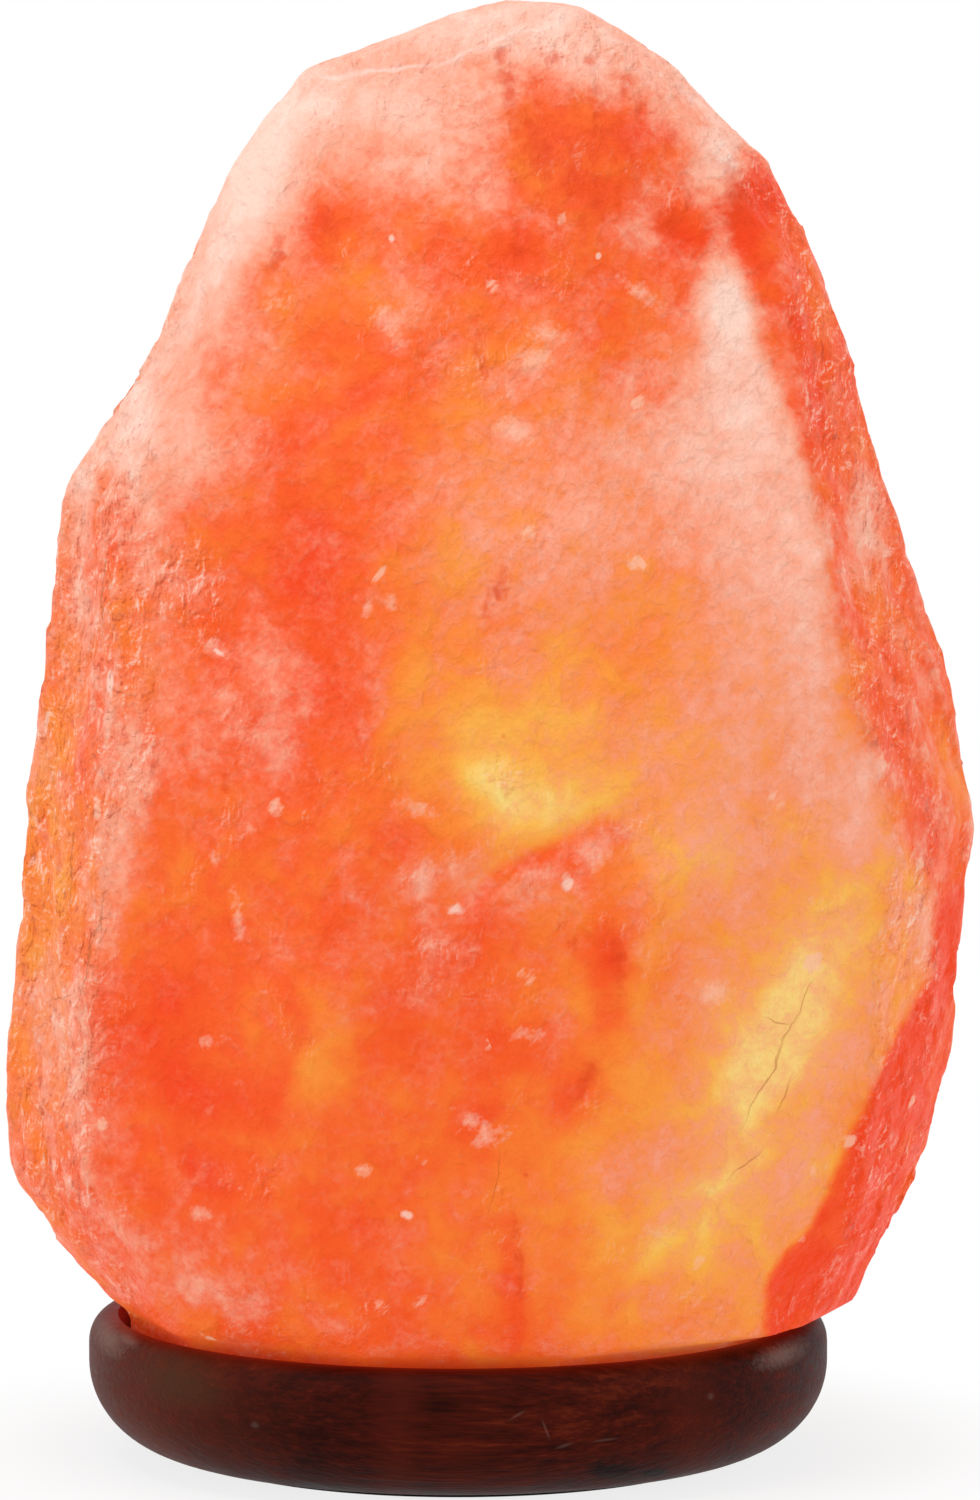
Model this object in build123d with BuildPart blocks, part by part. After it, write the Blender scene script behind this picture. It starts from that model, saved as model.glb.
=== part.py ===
from build123d import *
import math
import os

# Crystal table lamp: a rough rock salt crystal on a turned wooden base, lit from inside.
# The crystal stands in a shallow seat of the base, and three screws from below hold it.
# The light unit is a small screw lamp holder on a plate with a spring clip. It pushes up
# through the bore of the base into the hollow of the crystal, and pulls out to change the bulb.
# Millimetres, +Z up, front towards -Y, origin on the table below the middle of the base.

# Driving dimensions of the base
base_radius = 51.0
foot_inset = 13.0
rim_inset = 3.0
rim_width = 2.0
base_top = 19.3
equator_height = 13.0
shoulder_height = 15.5
seat_depth = 3.3
bore_radius = 20.0
recess_radius = 24.0
recess_depth = 7.7
pad_thickness = 0.8

# Driving dimensions of the crystal, its height from the seat
crystal_height = 184.0
crystal_width = 133.0
crystal_depth = 112.0
hollow_radius = 23.0
hollow_depth = 95.0

# Driving dimensions of the fixing screws and their plugs
screw_count = 3
screw_radius = 2.0
screw_length = 26.0
first_screw_turn = 30.0
plug_radius = 4.0
plug_length = 18.0
plug_wall = 4.0

# Driving dimensions of the light unit
holder_radius = 14.0
holder_height = 41.0
nipple_radius = 5.0
cord_bore_radius = 3.5
plate_thickness = 1.0
clip_thickness = 0.6
thread_pitch = 2.82
thread_radius = 6.95
thread_depth = 0.8
thread_turns = 4
bulb_length = 57.0
bulb_radius = 13.0
cap_length = 20.0

# Clearances: a seat with room, a fit that runs, a part of another body at rest
easy_gap = 0.3
running_gap = 0.05
thread_gap = 0.12
overrun = 5.0

# Heights and radii that several pieces share
foot_radius = base_radius - foot_inset
rim_radius = base_radius - rim_inset
seat_radius = rim_radius - rim_width
screw_circle_radius = hollow_radius + plug_wall + plug_radius
seat_floor = base_top - seat_depth
recess_top = pad_thickness + recess_depth
plate_top = recess_top - easy_gap
holder_bottom = plate_top + clip_thickness
holder_top = holder_bottom + holder_height

os.makedirs("parts", exist_ok=True)


def turned(turn, radius):
    """The point at this turn, in degrees, and this radius around the lamp's axis."""
    return radius * math.cos(math.radians(turn)), radius * math.sin(math.radians(turn))


# Wooden base: a turned disc with a round side, a seat for the crystal and a bore for the light unit
rim_flat = 1.0
groove_width = 8.0
groove_height = 7.2
screw_hole_radius = screw_radius + easy_gap
screw_head_radius = 3.8
screw_head_pocket = screw_head_radius + easy_gap
screw_head_depth = 5.7

with BuildPart() as wooden_base:
    with BuildSketch(Plane.XZ):
        with BuildLine():
            Line((recess_radius, pad_thickness), (foot_radius, pad_thickness))
            EllipticalCenterArc(
                (foot_radius, equator_height),
                base_radius - foot_radius,
                equator_height - pad_thickness,
                start_angle=-90,
                arc_size=90,
            )
            Line((base_radius, equator_height), (base_radius, shoulder_height))
            EllipticalCenterArc(
                (rim_radius, shoulder_height),
                base_radius - rim_radius,
                base_top - shoulder_height,
                start_angle=0,
                arc_size=90,
            )
            Polyline(
                (rim_radius, base_top),
                (rim_radius - rim_flat, base_top),
                (seat_radius, seat_floor),
                (bore_radius, seat_floor),
                (bore_radius, recess_top),
                (recess_radius, recess_top),
                (recess_radius, pad_thickness),
            )
        make_face()
    revolve(axis=Axis.Z)
    # The cord's way out runs back from the recess, with a round top
    with BuildSketch(Plane.XZ):
        with BuildLine():
            arch_height = pad_thickness + groove_height - groove_width / 2
            Polyline(
                (-groove_width / 2, arch_height),
                (-groove_width / 2, pad_thickness - overrun),
                (groove_width / 2, pad_thickness - overrun),
                (groove_width / 2, arch_height),
            )
            ThreePointArc(
                (groove_width / 2, arch_height),
                (0, arch_height + groove_width / 2),
                (-groove_width / 2, arch_height),
            )
        make_face()
    extrude(amount=-(base_radius + overrun), mode=Mode.SUBTRACT)
    # Counterbored ways for the screws that hold the crystal
    with BuildSketch(Plane.XY.offset(pad_thickness)):
        with PolarLocations(screw_circle_radius, screw_count, first_screw_turn):
            Circle(screw_head_pocket)
    extrude(amount=screw_head_depth, mode=Mode.SUBTRACT)
    with BuildSketch(Plane.XY.offset(pad_thickness)):
        with PolarLocations(screw_circle_radius, screw_count, first_screw_turn):
            Circle(screw_hole_radius)
    extrude(amount=base_top, mode=Mode.SUBTRACT)

wooden_base.part.label = "wooden_base"
export_step(wooden_base.part, "parts/wooden_base.step")


# Felt ring under the base, open at the back where the cord's way out passes
pad_edge = 1.5
pad_gap = groove_width + 2 * pad_edge

with BuildPart() as felt_pad:
    with BuildSketch(Plane.XY):
        Circle(foot_radius - pad_edge)
        Circle(recess_radius + pad_edge, mode=Mode.SUBTRACT)
        with Locations((0, base_radius / 2)):
            Rectangle(pad_gap, base_radius, mode=Mode.SUBTRACT)
    extrude(amount=pad_thickness)

felt_pad.part.label = "felt_pad"
export_step(felt_pad.part, "parts/felt_pad.step")


# Salt crystal: a blank lofted through rough sections, then broken along flat facets.
# A section: its height, and how far it reaches left, right, to the front and to the back.
section_shares = [
    (0.030, 0.362, 0.410, 0.430, 0.430),
    (0.080, 0.430, 0.445, 0.465, 0.465),
    (0.130, 0.469, 0.478, 0.485, 0.485),
    (0.220, 0.467, 0.514, 0.500, 0.495),
    (0.270, 0.463, 0.511, 0.507, 0.495),
    (0.390, 0.449, 0.533, 0.510, 0.490),
    (0.510, 0.427, 0.503, 0.490, 0.460),
    (0.630, 0.409, 0.451, 0.445, 0.425),
    (0.690, 0.361, 0.423, 0.400, 0.390),
    (0.735, 0.316, 0.405, 0.360, 0.370),
    (0.790, 0.287, 0.380, 0.315, 0.335),
    (0.885, 0.234, 0.321, 0.215, 0.280),
    (0.950, 0.166, 0.231, 0.120, 0.215),
    (0.997, -0.035, 0.128, 0.010, 0.120),
]
# The corners of each section, as shares of its half width and half depth
corner_shares = [
    (1.00, -0.12),
    (0.82, -0.66),
    (0.30, -0.98),
    (-0.30, -1.00),
    (-0.82, -0.64),
    (-1.00, -0.05),
    (-0.90, 0.52),
    (-0.42, 0.96),
    (0.22, 1.00),
    (0.76, 0.74),
    (0.98, 0.32),
]
# Flat broken facets: which way each faces, its tilt up, and its reach as a share of the width
facet_shares = [
    (-20, 16, 0.477),
    (-18, -18, 0.576),
    (-80, 8, 0.414),
    (-62, 26, 0.453),
    (-95, 45, 0.530),
    (-20, 48, 0.642),
    (-150, 20, 0.449),
    (-120, 12, 0.401),
    (-152, -30, 0.614),
    (-98, -10, 0.476),
    (-45, -24, 0.598),
    (30, 34, 0.571),
    (60, 14, 0.421),
    (92, 36, 0.519),
    (110, 4, 0.401),
    (150, 20, 0.440),
    (135, -20, 0.555),
    (40, -18, 0.576),
    (60, 60, 0.700),
]
facet_middle_share = 0.456
# Long shallow scoops where chips split off the rough sides: which way each faces, how far aside
# it lies as a share of the width, how high as a share of the height, and the lean of its length
scoop_shares = [
    (180, 0.105, 0.30, 4),
    (180, -0.045, 0.38, 6),
    (178, -0.190, 0.31, 8),
    (180, 0.100, 0.57, 9),
    (182, -0.060, 0.63, 12),
    (174, -0.200, 0.60, 10),
    (130, 0.000, 0.36, 5),
    (108, 0.020, 0.55, 4),
    (90, 0.010, 0.30, -4),
    (66, 0.000, 0.52, -6),
    (44, 0.000, 0.30, -5),
    (26, 0.020, 0.55, -12),
]
scoop_depth_share = 0.012
scoop_width_share = 0.226
scoop_length_share = 2.1
crystal_foot_radius = seat_radius - 2 * easy_gap
plug_hole_radius = plug_radius + running_gap


def section_corners(left_share, right_share, front_share, back_share):
    """The corners of one section of the crystal, in real sizes."""
    left, right = -left_share * crystal_width, right_share * crystal_width
    front, back = -front_share * crystal_depth, back_share * crystal_depth
    middle_x, half_x = (right + left) / 2, (right - left) / 2
    middle_y, half_y = (back + front) / 2, (back - front) / 2
    return [(middle_x + half_x * x, middle_y + half_y * y) for x, y in corner_shares]


def foot_corner(x_share, y_share):
    """A corner of the crystal's foot, on a circle inside the seat."""
    return turned(math.degrees(math.atan2(y_share, x_share)), crystal_foot_radius)


def facet_plane(turn, tilt, reach_share):
    """The plane of a broken facet, with its normal away from the middle of the crystal."""
    across, up = math.cos(math.radians(tilt)), math.sin(math.radians(tilt))
    outward = Vector(*turned(turn, across), up)
    middle = Vector(0, 0, seat_floor + facet_middle_share * crystal_height)
    return Plane(origin=middle + outward * reach_share * crystal_width, z_dir=outward)


def scoop_place(blank, turn, aside_share, height_share, lean):
    """Where the tool for one scoop goes, so that it bites into the facet that lies there."""
    outward, aside = Vector(*turned(turn, 1)), Vector(*turned(turn + 90, 1))
    middle = aside * aside_share * crystal_width + Vector(0, 0, seat_floor + height_share * crystal_height)
    hits = blank.find_intersection_points(Axis(middle, outward))
    bite, facing = max(hits, key=lambda hit: (hit[0] - middle).dot(outward))
    if facing.dot(outward) < 0:
        facing = -facing
    level = facing.cross(Vector(0, 0, 1)).normalized()
    along = level.cross(facing).rotate(Axis(Vector(), facing), lean)
    reach = (scoop_width_share - scoop_depth_share) * crystal_width
    return Location(Plane(origin=bite + facing * reach, z_dir=along))


with BuildPart() as scoop:
    with BuildSketch(Plane.XZ):
        with BuildLine():
            scoop_radius = scoop_width_share * crystal_width
            scoop_curve = scoop_length_share * crystal_width
            scoop_end = math.sqrt(scoop_curve**2 - (scoop_curve - scoop_radius) ** 2)
            ThreePointArc((0, -scoop_end), (scoop_radius, 0), (0, scoop_end))
            Line((0, scoop_end), (0, -scoop_end))
        make_face()
    revolve(axis=Axis.Z)

with BuildPart() as salt_crystal:
    for height in (seat_floor, base_top + easy_gap):
        with BuildSketch(Plane.XY.offset(height)):
            with BuildLine():
                Polyline(*[foot_corner(*corner) for corner in corner_shares], close=True)
            make_face()
    for height_share, *reach_shares in section_shares:
        with BuildSketch(Plane.XY.offset(seat_floor + height_share * crystal_height)):
            with BuildLine():
                Polyline(*section_corners(*reach_shares), close=True)
            make_face()
    loft(ruled=True)
    for facet in facet_shares:
        split(bisect_by=facet_plane(*facet), keep=Keep.BOTTOM)
    with Locations(*[scoop_place(salt_crystal.part, *shares) for shares in scoop_shares]):
        add(scoop.part, mode=Mode.SUBTRACT)
    # The bored hollow for the bulb, with a round end
    with BuildSketch(Plane.XZ):
        with BuildLine():
            hollow_end = seat_floor + hollow_depth
            Polyline(
                (0, hollow_end),
                (0, seat_floor - overrun),
                (hollow_radius, seat_floor - overrun),
                (hollow_radius, hollow_end - hollow_radius),
            )
            CenterArc((0, hollow_end - hollow_radius), hollow_radius, 0, arc_size=90)
        make_face()
    revolve(axis=Axis.Z, mode=Mode.SUBTRACT)
    # The holes for the plugs
    with BuildSketch(Plane.XY.offset(seat_floor)):
        with PolarLocations(screw_circle_radius, screw_count, first_screw_turn):
            Circle(plug_hole_radius)
    extrude(amount=plug_length + easy_gap, mode=Mode.SUBTRACT)

salt_crystal.part.label = "salt_crystal"
export_step(salt_crystal.part, "parts/salt_crystal.step")


# Screws from below, each with a flat-bottomed round head, and the nylon plugs they bite in
head_height = 2.8
head_bottom = pad_thickness + screw_head_depth - head_height
slot_width = 1.0
slot_depth = 1.2
point_length = 4.0

with BuildPart() as base_screw:
    with BuildSketch(Plane.XZ):
        with BuildLine():
            head_top = head_bottom + head_height
            screw_end = head_top + screw_length
            Polyline(
                (screw_head_radius, head_top - head_height / 2),
                (screw_head_radius, head_top),
                (screw_radius, head_top),
                (screw_radius, screw_end - point_length),
                (0, screw_end),
                (0, head_bottom),
                (screw_head_radius / 2, head_bottom),
            )
            RadiusArc(
                (screw_head_radius / 2, head_bottom),
                (screw_head_radius, head_top - head_height / 2),
                -screw_head_radius / 2,
            )
        make_face()
    revolve(axis=Axis.Z)
    with BuildSketch(Plane.XY.offset(head_bottom)):
        Rectangle(screw_head_radius, slot_width)
        Rectangle(slot_width, screw_head_radius)
    extrude(amount=slot_depth, mode=Mode.SUBTRACT)

with BuildPart() as base_screws:
    with PolarLocations(screw_circle_radius, screw_count, first_screw_turn):
        add(base_screw.part)

base_screws.part.label = "base_screws"
export_step(base_screws.part, "parts/base_screws.step")

with BuildPart() as screw_plugs:
    with BuildSketch(Plane.XY.offset(seat_floor)):
        with PolarLocations(screw_circle_radius, screw_count, first_screw_turn):
            Circle(plug_radius)
            Circle(screw_radius + running_gap, mode=Mode.SUBTRACT)
    extrude(amount=plug_length)

screw_plugs.part.label = "screw_plugs"
export_step(screw_plugs.part, "parts/screw_plugs.step")


# Stop plate: the round plate that meets the base from below
plate_radius = recess_radius - 2 * easy_gap
plate_edge = 0.3
nipple_hole_radius = nipple_radius + running_gap

with BuildPart() as stop_plate:
    with BuildSketch(Plane.XY.offset(plate_top - plate_thickness)):
        Circle(plate_radius)
        Circle(nipple_hole_radius, mode=Mode.SUBTRACT)
    extrude(amount=plate_thickness)
    chamfer(stop_plate.edges().filter_by(GeomType.CIRCLE).group_by(SortBy.RADIUS)[-1], plate_edge)

stop_plate.part.label = "stop_plate"
export_step(stop_plate.part, "parts/stop_plate.step")


# Spring clip: three bowed legs of one sprung strip, which grip the bore of the base
leg_count = 3
leg_turn = 24.0
first_leg_turn = 90.0
leg_foot_radius = 17.2
leg_bow_radius = bore_radius - easy_gap
leg_tip_radius = 16.4
leg_bow_height = 6.0
leg_height = 17.0
leg_bend = 1.4
hub_radius = 9.0

with BuildPart() as clip_leg:
    with BuildSketch(Plane.XZ):
        with BuildLine() as leg_line:
            FilletPolyline(
                (hub_radius / 2, plate_top),
                (leg_foot_radius, plate_top),
                (leg_bow_radius, plate_top + leg_bow_height),
                (leg_tip_radius, plate_top + leg_height),
                radius=leg_bend,
            )
            offset(amount=clip_thickness, side=Side.LEFT)
        make_face()
    revolve(axis=Axis.Z, revolution_arc=leg_turn)

with BuildPart() as spring_clip:
    with BuildSketch(Plane.XY.offset(plate_top)):
        Circle(hub_radius)
    extrude(amount=clip_thickness)
    with PolarLocations(0, leg_count, first_leg_turn - leg_turn / 2):
        add(clip_leg.part)
    with BuildSketch(Plane.XY.offset(plate_top)):
        Circle(nipple_hole_radius)
    extrude(amount=clip_thickness, mode=Mode.SUBTRACT)

spring_clip.part.label = "spring_clip"
export_step(spring_clip.part, "parts/spring_clip.step")


# Threaded tube through the plate and clip, its nut and toothed washer below the plate
nut_height = 3.0
nut_flats = 14.0
washer_thickness = 0.9
washer_radius = 9.0
washer_teeth = 12
tooth_depth_share = 0.16
nipple_grip = 4.6
nipple_stand = 1.0
nut_top = plate_top - plate_thickness - washer_thickness
nut_edge = 0.5
nipple_top = holder_bottom + nipple_grip
nipple_bottom = nut_top - nut_height - nipple_stand

with BuildPart() as nipple:
    with BuildSketch(Plane.XY.offset(nipple_bottom)):
        Circle(nipple_radius)
        Circle(cord_bore_radius, mode=Mode.SUBTRACT)
    extrude(amount=nipple_top - nipple_bottom)

nipple.part.label = "nipple"
export_step(nipple.part, "parts/nipple.step")

with BuildPart() as lock_nut:
    with BuildSketch(Plane.XY.offset(nut_top - nut_height)):
        RegularPolygon(nut_flats / 2, 6, major_radius=False)
        Circle(nipple_hole_radius, mode=Mode.SUBTRACT)
    extrude(amount=nut_height)
    # The corners of the hexagon are turned down a little at both ends
    with BuildSketch(Plane.XZ):
        with BuildLine():
            corner_radius = nut_flats / math.sqrt(3)
            Polyline(
                (corner_radius - nut_edge, nut_top - nut_height),
                (corner_radius, nut_top - nut_height + nut_edge),
                (corner_radius, nut_top - nut_edge),
                (corner_radius - nut_edge, nut_top),
                (0, nut_top),
                (0, nut_top - nut_height),
                close=True,
            )
        make_face()
    revolve(axis=Axis.Z, mode=Mode.INTERSECT)

lock_nut.part.label = "lock_nut"
export_step(lock_nut.part, "parts/lock_nut.step")

with BuildPart() as star_washer:
    with BuildSketch(Plane.XY.offset(nut_top)):
        Circle(washer_radius)
        Circle(nipple_hole_radius, mode=Mode.SUBTRACT)
        with PolarLocations(washer_radius, washer_teeth):
            Circle(washer_radius * tooth_depth_share, mode=Mode.SUBTRACT)
    extrude(amount=washer_thickness)

star_washer.part.label = "star_washer"
export_step(star_washer.part, "parts/star_washer.step")


# Lamp holder, lower half: a domed cap screwed on the threaded tube, with a collar for the sleeve
wall = 1.9
neck_radius = 7.5
neck_height = 3.0
dome_height = 13.2
collar_height = 4.0
dome_top = holder_bottom + dome_height
collar_top = dome_top + collar_height
collar_radius = holder_radius - wall
collar_wall = 1.3
cap_hollow_radius = collar_radius - collar_wall

with BuildPart() as holder_cap:
    with BuildSketch(Plane.XZ):
        with BuildLine():
            shoulder = dome_top - collar_height
            floor_top = holder_bottom + neck_height + wall
            Polyline(
                (nipple_hole_radius, holder_bottom),
                (neck_radius, holder_bottom),
                (neck_radius, holder_bottom + neck_height),
            )
            EllipticalCenterArc(
                (neck_radius, shoulder),
                holder_radius - neck_radius,
                shoulder - holder_bottom - neck_height,
                start_angle=-90,
                arc_size=90,
            )
            Polyline(
                (holder_radius, shoulder),
                (holder_radius, dome_top),
                (collar_radius, dome_top),
                (collar_radius, collar_top),
                (cap_hollow_radius, collar_top),
                (cap_hollow_radius, shoulder + wall),
                (neck_radius, floor_top),
                (nipple_hole_radius, floor_top),
                (nipple_hole_radius, holder_bottom),
            )
        make_face()
    revolve(axis=Axis.Z)

holder_cap.part.label = "holder_cap"
export_step(holder_cap.part, "parts/holder_cap.step")


# Lamp holder, upper half: a sleeve over the collar, with a lip round the bulb's cap
lip_radius = 9.0
lip_thickness = 1.6
core_flange_height = 3.0
flange_top = collar_top + core_flange_height
sleeve_taper = 0.8
sleeve_step_radius = collar_radius - 2 * easy_gap - 2 * sleeve_taper / 3

with BuildPart() as holder_shell:
    with BuildSketch(Plane.XZ):
        with BuildLine():
            Polyline(
                (collar_radius + running_gap, dome_top),
                (holder_radius, dome_top),
                (holder_radius, flange_top),
                (holder_radius - sleeve_taper, holder_top - lip_thickness),
                (holder_radius - 2 * sleeve_taper, holder_top),
                (lip_radius, holder_top),
                (lip_radius, holder_top - lip_thickness),
                (sleeve_step_radius, holder_top - lip_thickness),
                (sleeve_step_radius, flange_top + running_gap),
                (collar_radius + running_gap, flange_top + running_gap),
                close=True,
            )
        make_face()
    revolve(axis=Axis.Z)

holder_shell.part.label = "holder_shell"
export_step(holder_shell.part, "parts/holder_shell.step")


# Insulating core with the well for the bulb's cap, and two ways through its floor for the contacts
liner_room = 1.4
well_radius = thread_radius + liner_room
well_floor = flange_top + wall
core_top = holder_top - lip_thickness - easy_gap
core_drop = 5.0
core_bottom = collar_top - core_drop
core_foot_radius = cap_hollow_radius - easy_gap
strip_thickness = 0.5
strip_width = 4.0
strip_slot = strip_thickness + 2 * running_gap
terminal_radius = 1.3
terminal_head_radius = 2.0
terminal_head_height = 1.8
# Where each contact strip rises through the core, and where its terminal screw holds it
side_rise, side_terminal = 7.0, 4.0
centre_rise, centre_terminal = -4.8, -7.6

with BuildPart() as holder_core:
    with BuildSketch(Plane.XZ):
        with BuildLine():
            Polyline(
                (0, core_bottom),
                (core_foot_radius, core_bottom),
                (core_foot_radius, collar_top),
                (collar_radius - running_gap, collar_top),
                (collar_radius - running_gap, flange_top),
                (sleeve_step_radius - easy_gap, flange_top),
                (sleeve_step_radius - easy_gap, core_top),
                (well_radius, core_top),
                (well_radius, well_floor),
                (0, well_floor),
                close=True,
            )
        make_face()
    revolve(axis=Axis.Z)
    with BuildSketch(Plane.XY.offset(core_bottom)):
        with Locations((side_rise, 0), (centre_rise, 0)):
            Rectangle(strip_slot, strip_width + 2 * running_gap)
    extrude(amount=well_floor - core_bottom, mode=Mode.SUBTRACT)
    with BuildSketch(Plane.XY.offset(core_bottom)):
        with Locations((side_terminal, 0), (centre_terminal, 0)):
            Circle(terminal_radius + running_gap)
    extrude(amount=core_drop, mode=Mode.SUBTRACT)

holder_core.part.label = "holder_core"
export_step(holder_core.part, "parts/holder_core.step")


# Threads with a round profile: the liner of the well, and the bulb's cap inside it
thread_middle = thread_radius - thread_depth / 2
liner_wall = 0.4
liner_bottom = well_floor + strip_thickness
tip_stand = 1.8
thread_stand = 3.0
bulb_bottom = well_floor + tip_stand
cap_top = bulb_bottom + cap_length
thread_start = bulb_bottom + thread_stand
thread_end = thread_start + thread_turns * thread_pitch


def thread_profile(middle_radius):
    """Adds the round waves of a thread, rising, to the line that is being built."""
    for half in range(2 * thread_turns):
        low = thread_start + half * thread_pitch / 2
        side = thread_depth / 2 if half % 2 == 0 else -thread_depth / 2
        ThreePointArc(
            (middle_radius, low),
            (middle_radius + side, low + thread_pitch / 4),
            (middle_radius, low + thread_pitch / 2),
        )


with BuildPart() as screw_shell:
    with BuildSketch(Plane.XZ):
        with BuildLine():
            inside = thread_middle + thread_gap
            outside = well_radius - running_gap
            Polyline(
                (inside, thread_end),
                (inside, thread_end + liner_wall),
                (outside, thread_end + liner_wall),
                (outside, liner_bottom),
                (inside, liner_bottom),
                (inside, thread_start),
            )
            thread_profile(inside)
        make_face()
    revolve(axis=Axis.Z)

screw_shell.part.label = "screw_shell"
export_step(screw_shell.part, "parts/screw_shell.step")


# Contact strips, clamped under the core by the terminal screws. The side one meets the liner,
# the middle one is bent over the well's floor and stands up under the bulb's tip.
strip_bottom = core_bottom - strip_thickness
tongue_radius = 2.6


def contact_strip(rise, terminal, top):
    """A strip from its terminal along the core's foot and up its slot, to the given height."""
    low, high = sorted((rise + math.copysign(strip_thickness / 2, rise - terminal), terminal))
    hook = math.copysign(terminal_head_radius, rise - terminal)
    with BuildSketch(Plane.XZ.offset(-strip_width / 2)) as profile:
        with Locations(((low + high - hook) / 2, (strip_bottom + core_bottom) / 2)):
            Rectangle(high - low + terminal_head_radius, strip_thickness)
        with Locations((rise, (strip_bottom + top) / 2)):
            Rectangle(strip_thickness, top - strip_bottom)
    return profile.sketch


def terminal_hole(terminal):
    """The round hole in a strip, for the shank of its terminal screw."""
    with BuildSketch(Plane.XY.offset(strip_bottom)) as hole:
        with Locations((terminal, 0)):
            Circle(terminal_radius + running_gap)
    return hole.sketch


with BuildPart() as side_contact:
    extrude(contact_strip(side_rise, side_terminal, liner_bottom), amount=strip_width)
    extrude(terminal_hole(side_terminal), amount=strip_thickness, mode=Mode.SUBTRACT)

side_contact.part.label = "side_contact"
export_step(side_contact.part, "parts/side_contact.step")

with BuildPart() as centre_contact:
    extrude(contact_strip(centre_rise, centre_terminal, liner_bottom), amount=strip_width)
    extrude(terminal_hole(centre_terminal), amount=strip_thickness, mode=Mode.SUBTRACT)
    with BuildSketch(Plane.XZ.offset(-strip_width / 2)):
        with BuildLine():
            tongue_top = bulb_bottom - running_gap
            Polyline(
                (centre_rise, liner_bottom),
                (-tongue_radius, liner_bottom),
                (-tongue_radius / 2, tongue_top),
                (tongue_radius / 2, tongue_top),
                (tongue_radius / 2, tongue_top - strip_thickness),
                (strip_thickness - tongue_radius / 2, tongue_top - strip_thickness),
                (strip_thickness - tongue_radius, well_floor),
                (centre_rise, well_floor),
                close=True,
            )
        make_face()
    extrude(amount=strip_width)

centre_contact.part.label = "centre_contact"
export_step(centre_contact.part, "parts/centre_contact.step")

with BuildPart() as terminal_screws:
    with BuildSketch(Plane.XY.offset(strip_bottom)):
        with Locations((side_terminal, 0), (centre_terminal, 0)):
            Circle(terminal_head_radius)
    extrude(amount=-terminal_head_height)
    with BuildSketch(Plane.XY.offset(strip_bottom)):
        with Locations((side_terminal, 0), (centre_terminal, 0)):
            Circle(terminal_radius)
    extrude(amount=core_drop)
    # A slot across each head
    with BuildSketch(Plane.XY.offset(strip_bottom - terminal_head_height)):
        with Locations((side_terminal, 0), (centre_terminal, 0)):
            Rectangle(strip_thickness, 2 * terminal_head_radius)
    extrude(amount=terminal_head_height / 2, mode=Mode.SUBTRACT)

terminal_screws.part.label = "terminal_screws"
export_step(terminal_screws.part, "parts/terminal_screws.step")


# Bulb cap: thin threaded metal with a skirt for the glass
cap_wall = 0.5
skirt_radius = 8.4
skirt_height = 3.0
cap_bore_radius = thread_radius - thread_depth - cap_wall
insulator_height = 2.4
tip_height = 1.2
tip_radius = 2.2
cap_rim = cap_top - skirt_height

with BuildPart() as bulb_cap:
    with BuildSketch(Plane.XZ):
        with BuildLine():
            cap_bottom = bulb_bottom + tip_height + insulator_height / 2
            flare_start = thread_end + cap_wall
            Polyline(
                (thread_middle, thread_end),
                (thread_middle, flare_start),
                (skirt_radius, cap_rim),
                (skirt_radius, cap_top),
                (skirt_radius - cap_wall, cap_top),
                (skirt_radius - cap_wall, cap_rim),
                (cap_bore_radius, flare_start),
                (cap_bore_radius, cap_bottom),
                (thread_middle - cap_wall, cap_bottom),
                (thread_middle, thread_start),
            )
            thread_profile(thread_middle)
        make_face()
    revolve(axis=Axis.Z)

bulb_cap.part.label = "bulb_cap"
export_step(bulb_cap.part, "parts/bulb_cap.step")

with BuildPart() as cap_insulator:
    with BuildSketch(Plane.XZ):
        with BuildLine():
            insulator_bottom = bulb_bottom + tip_height
            Polyline(
                (0, insulator_bottom),
                (tip_radius + cap_wall, insulator_bottom),
                (cap_bore_radius - running_gap, cap_bottom),
                (cap_bore_radius - running_gap, insulator_bottom + insulator_height),
                (0, insulator_bottom + insulator_height),
                close=True,
            )
        make_face()
    revolve(axis=Axis.Z)

cap_insulator.part.label = "cap_insulator"
export_step(cap_insulator.part, "parts/cap_insulator.step")

with BuildPart() as tip_contact:
    with BuildSketch(Plane.XZ):
        with BuildLine():
            Polyline((0, bulb_bottom), (0, insulator_bottom), (tip_radius, insulator_bottom))
            EllipticalCenterArc(
                (0, insulator_bottom),
                tip_radius,
                tip_height,
                start_angle=-90,
                arc_size=90,
            )
        make_face()
    revolve(axis=Axis.Z)

tip_contact.part.label = "tip_contact"
export_step(tip_contact.part, "parts/tip_contact.step")


# Bulb glass: a thin pear, whose neck flows into the ball through a hollow curve
glass_wall = 0.7
glass_neck_radius = skirt_radius - cap_wall - easy_gap
straight_neck_share = 0.33
bulb_top = bulb_bottom + bulb_length
ball_height = bulb_top - bulb_radius
glass_bottom = cap_rim + running_gap
curve_height = glass_bottom + straight_neck_share * (ball_height - glass_bottom)
# The hollow curve that meets both the straight neck and the ball smoothly
neck_rise = ball_height - curve_height
neck_swell = bulb_radius - glass_neck_radius
neck_curve_radius = (glass_neck_radius**2 + neck_rise**2 - bulb_radius**2) / (2 * neck_swell)
ball_to_curve = bulb_radius + neck_curve_radius


def pear_outline(inset):
    """Adds the outline of the pear, from its neck to its top, this far inside the outer glass."""
    across = (glass_neck_radius + neck_curve_radius) / ball_to_curve
    drop = math.degrees(math.acos(across))
    ball, curve = bulb_radius - inset, neck_curve_radius + inset
    CenterArc((glass_neck_radius + neck_curve_radius, curve_height), curve, 180 - drop, arc_size=drop)
    CenterArc((0, ball_height), ball, -drop, arc_size=90 + drop)


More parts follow.
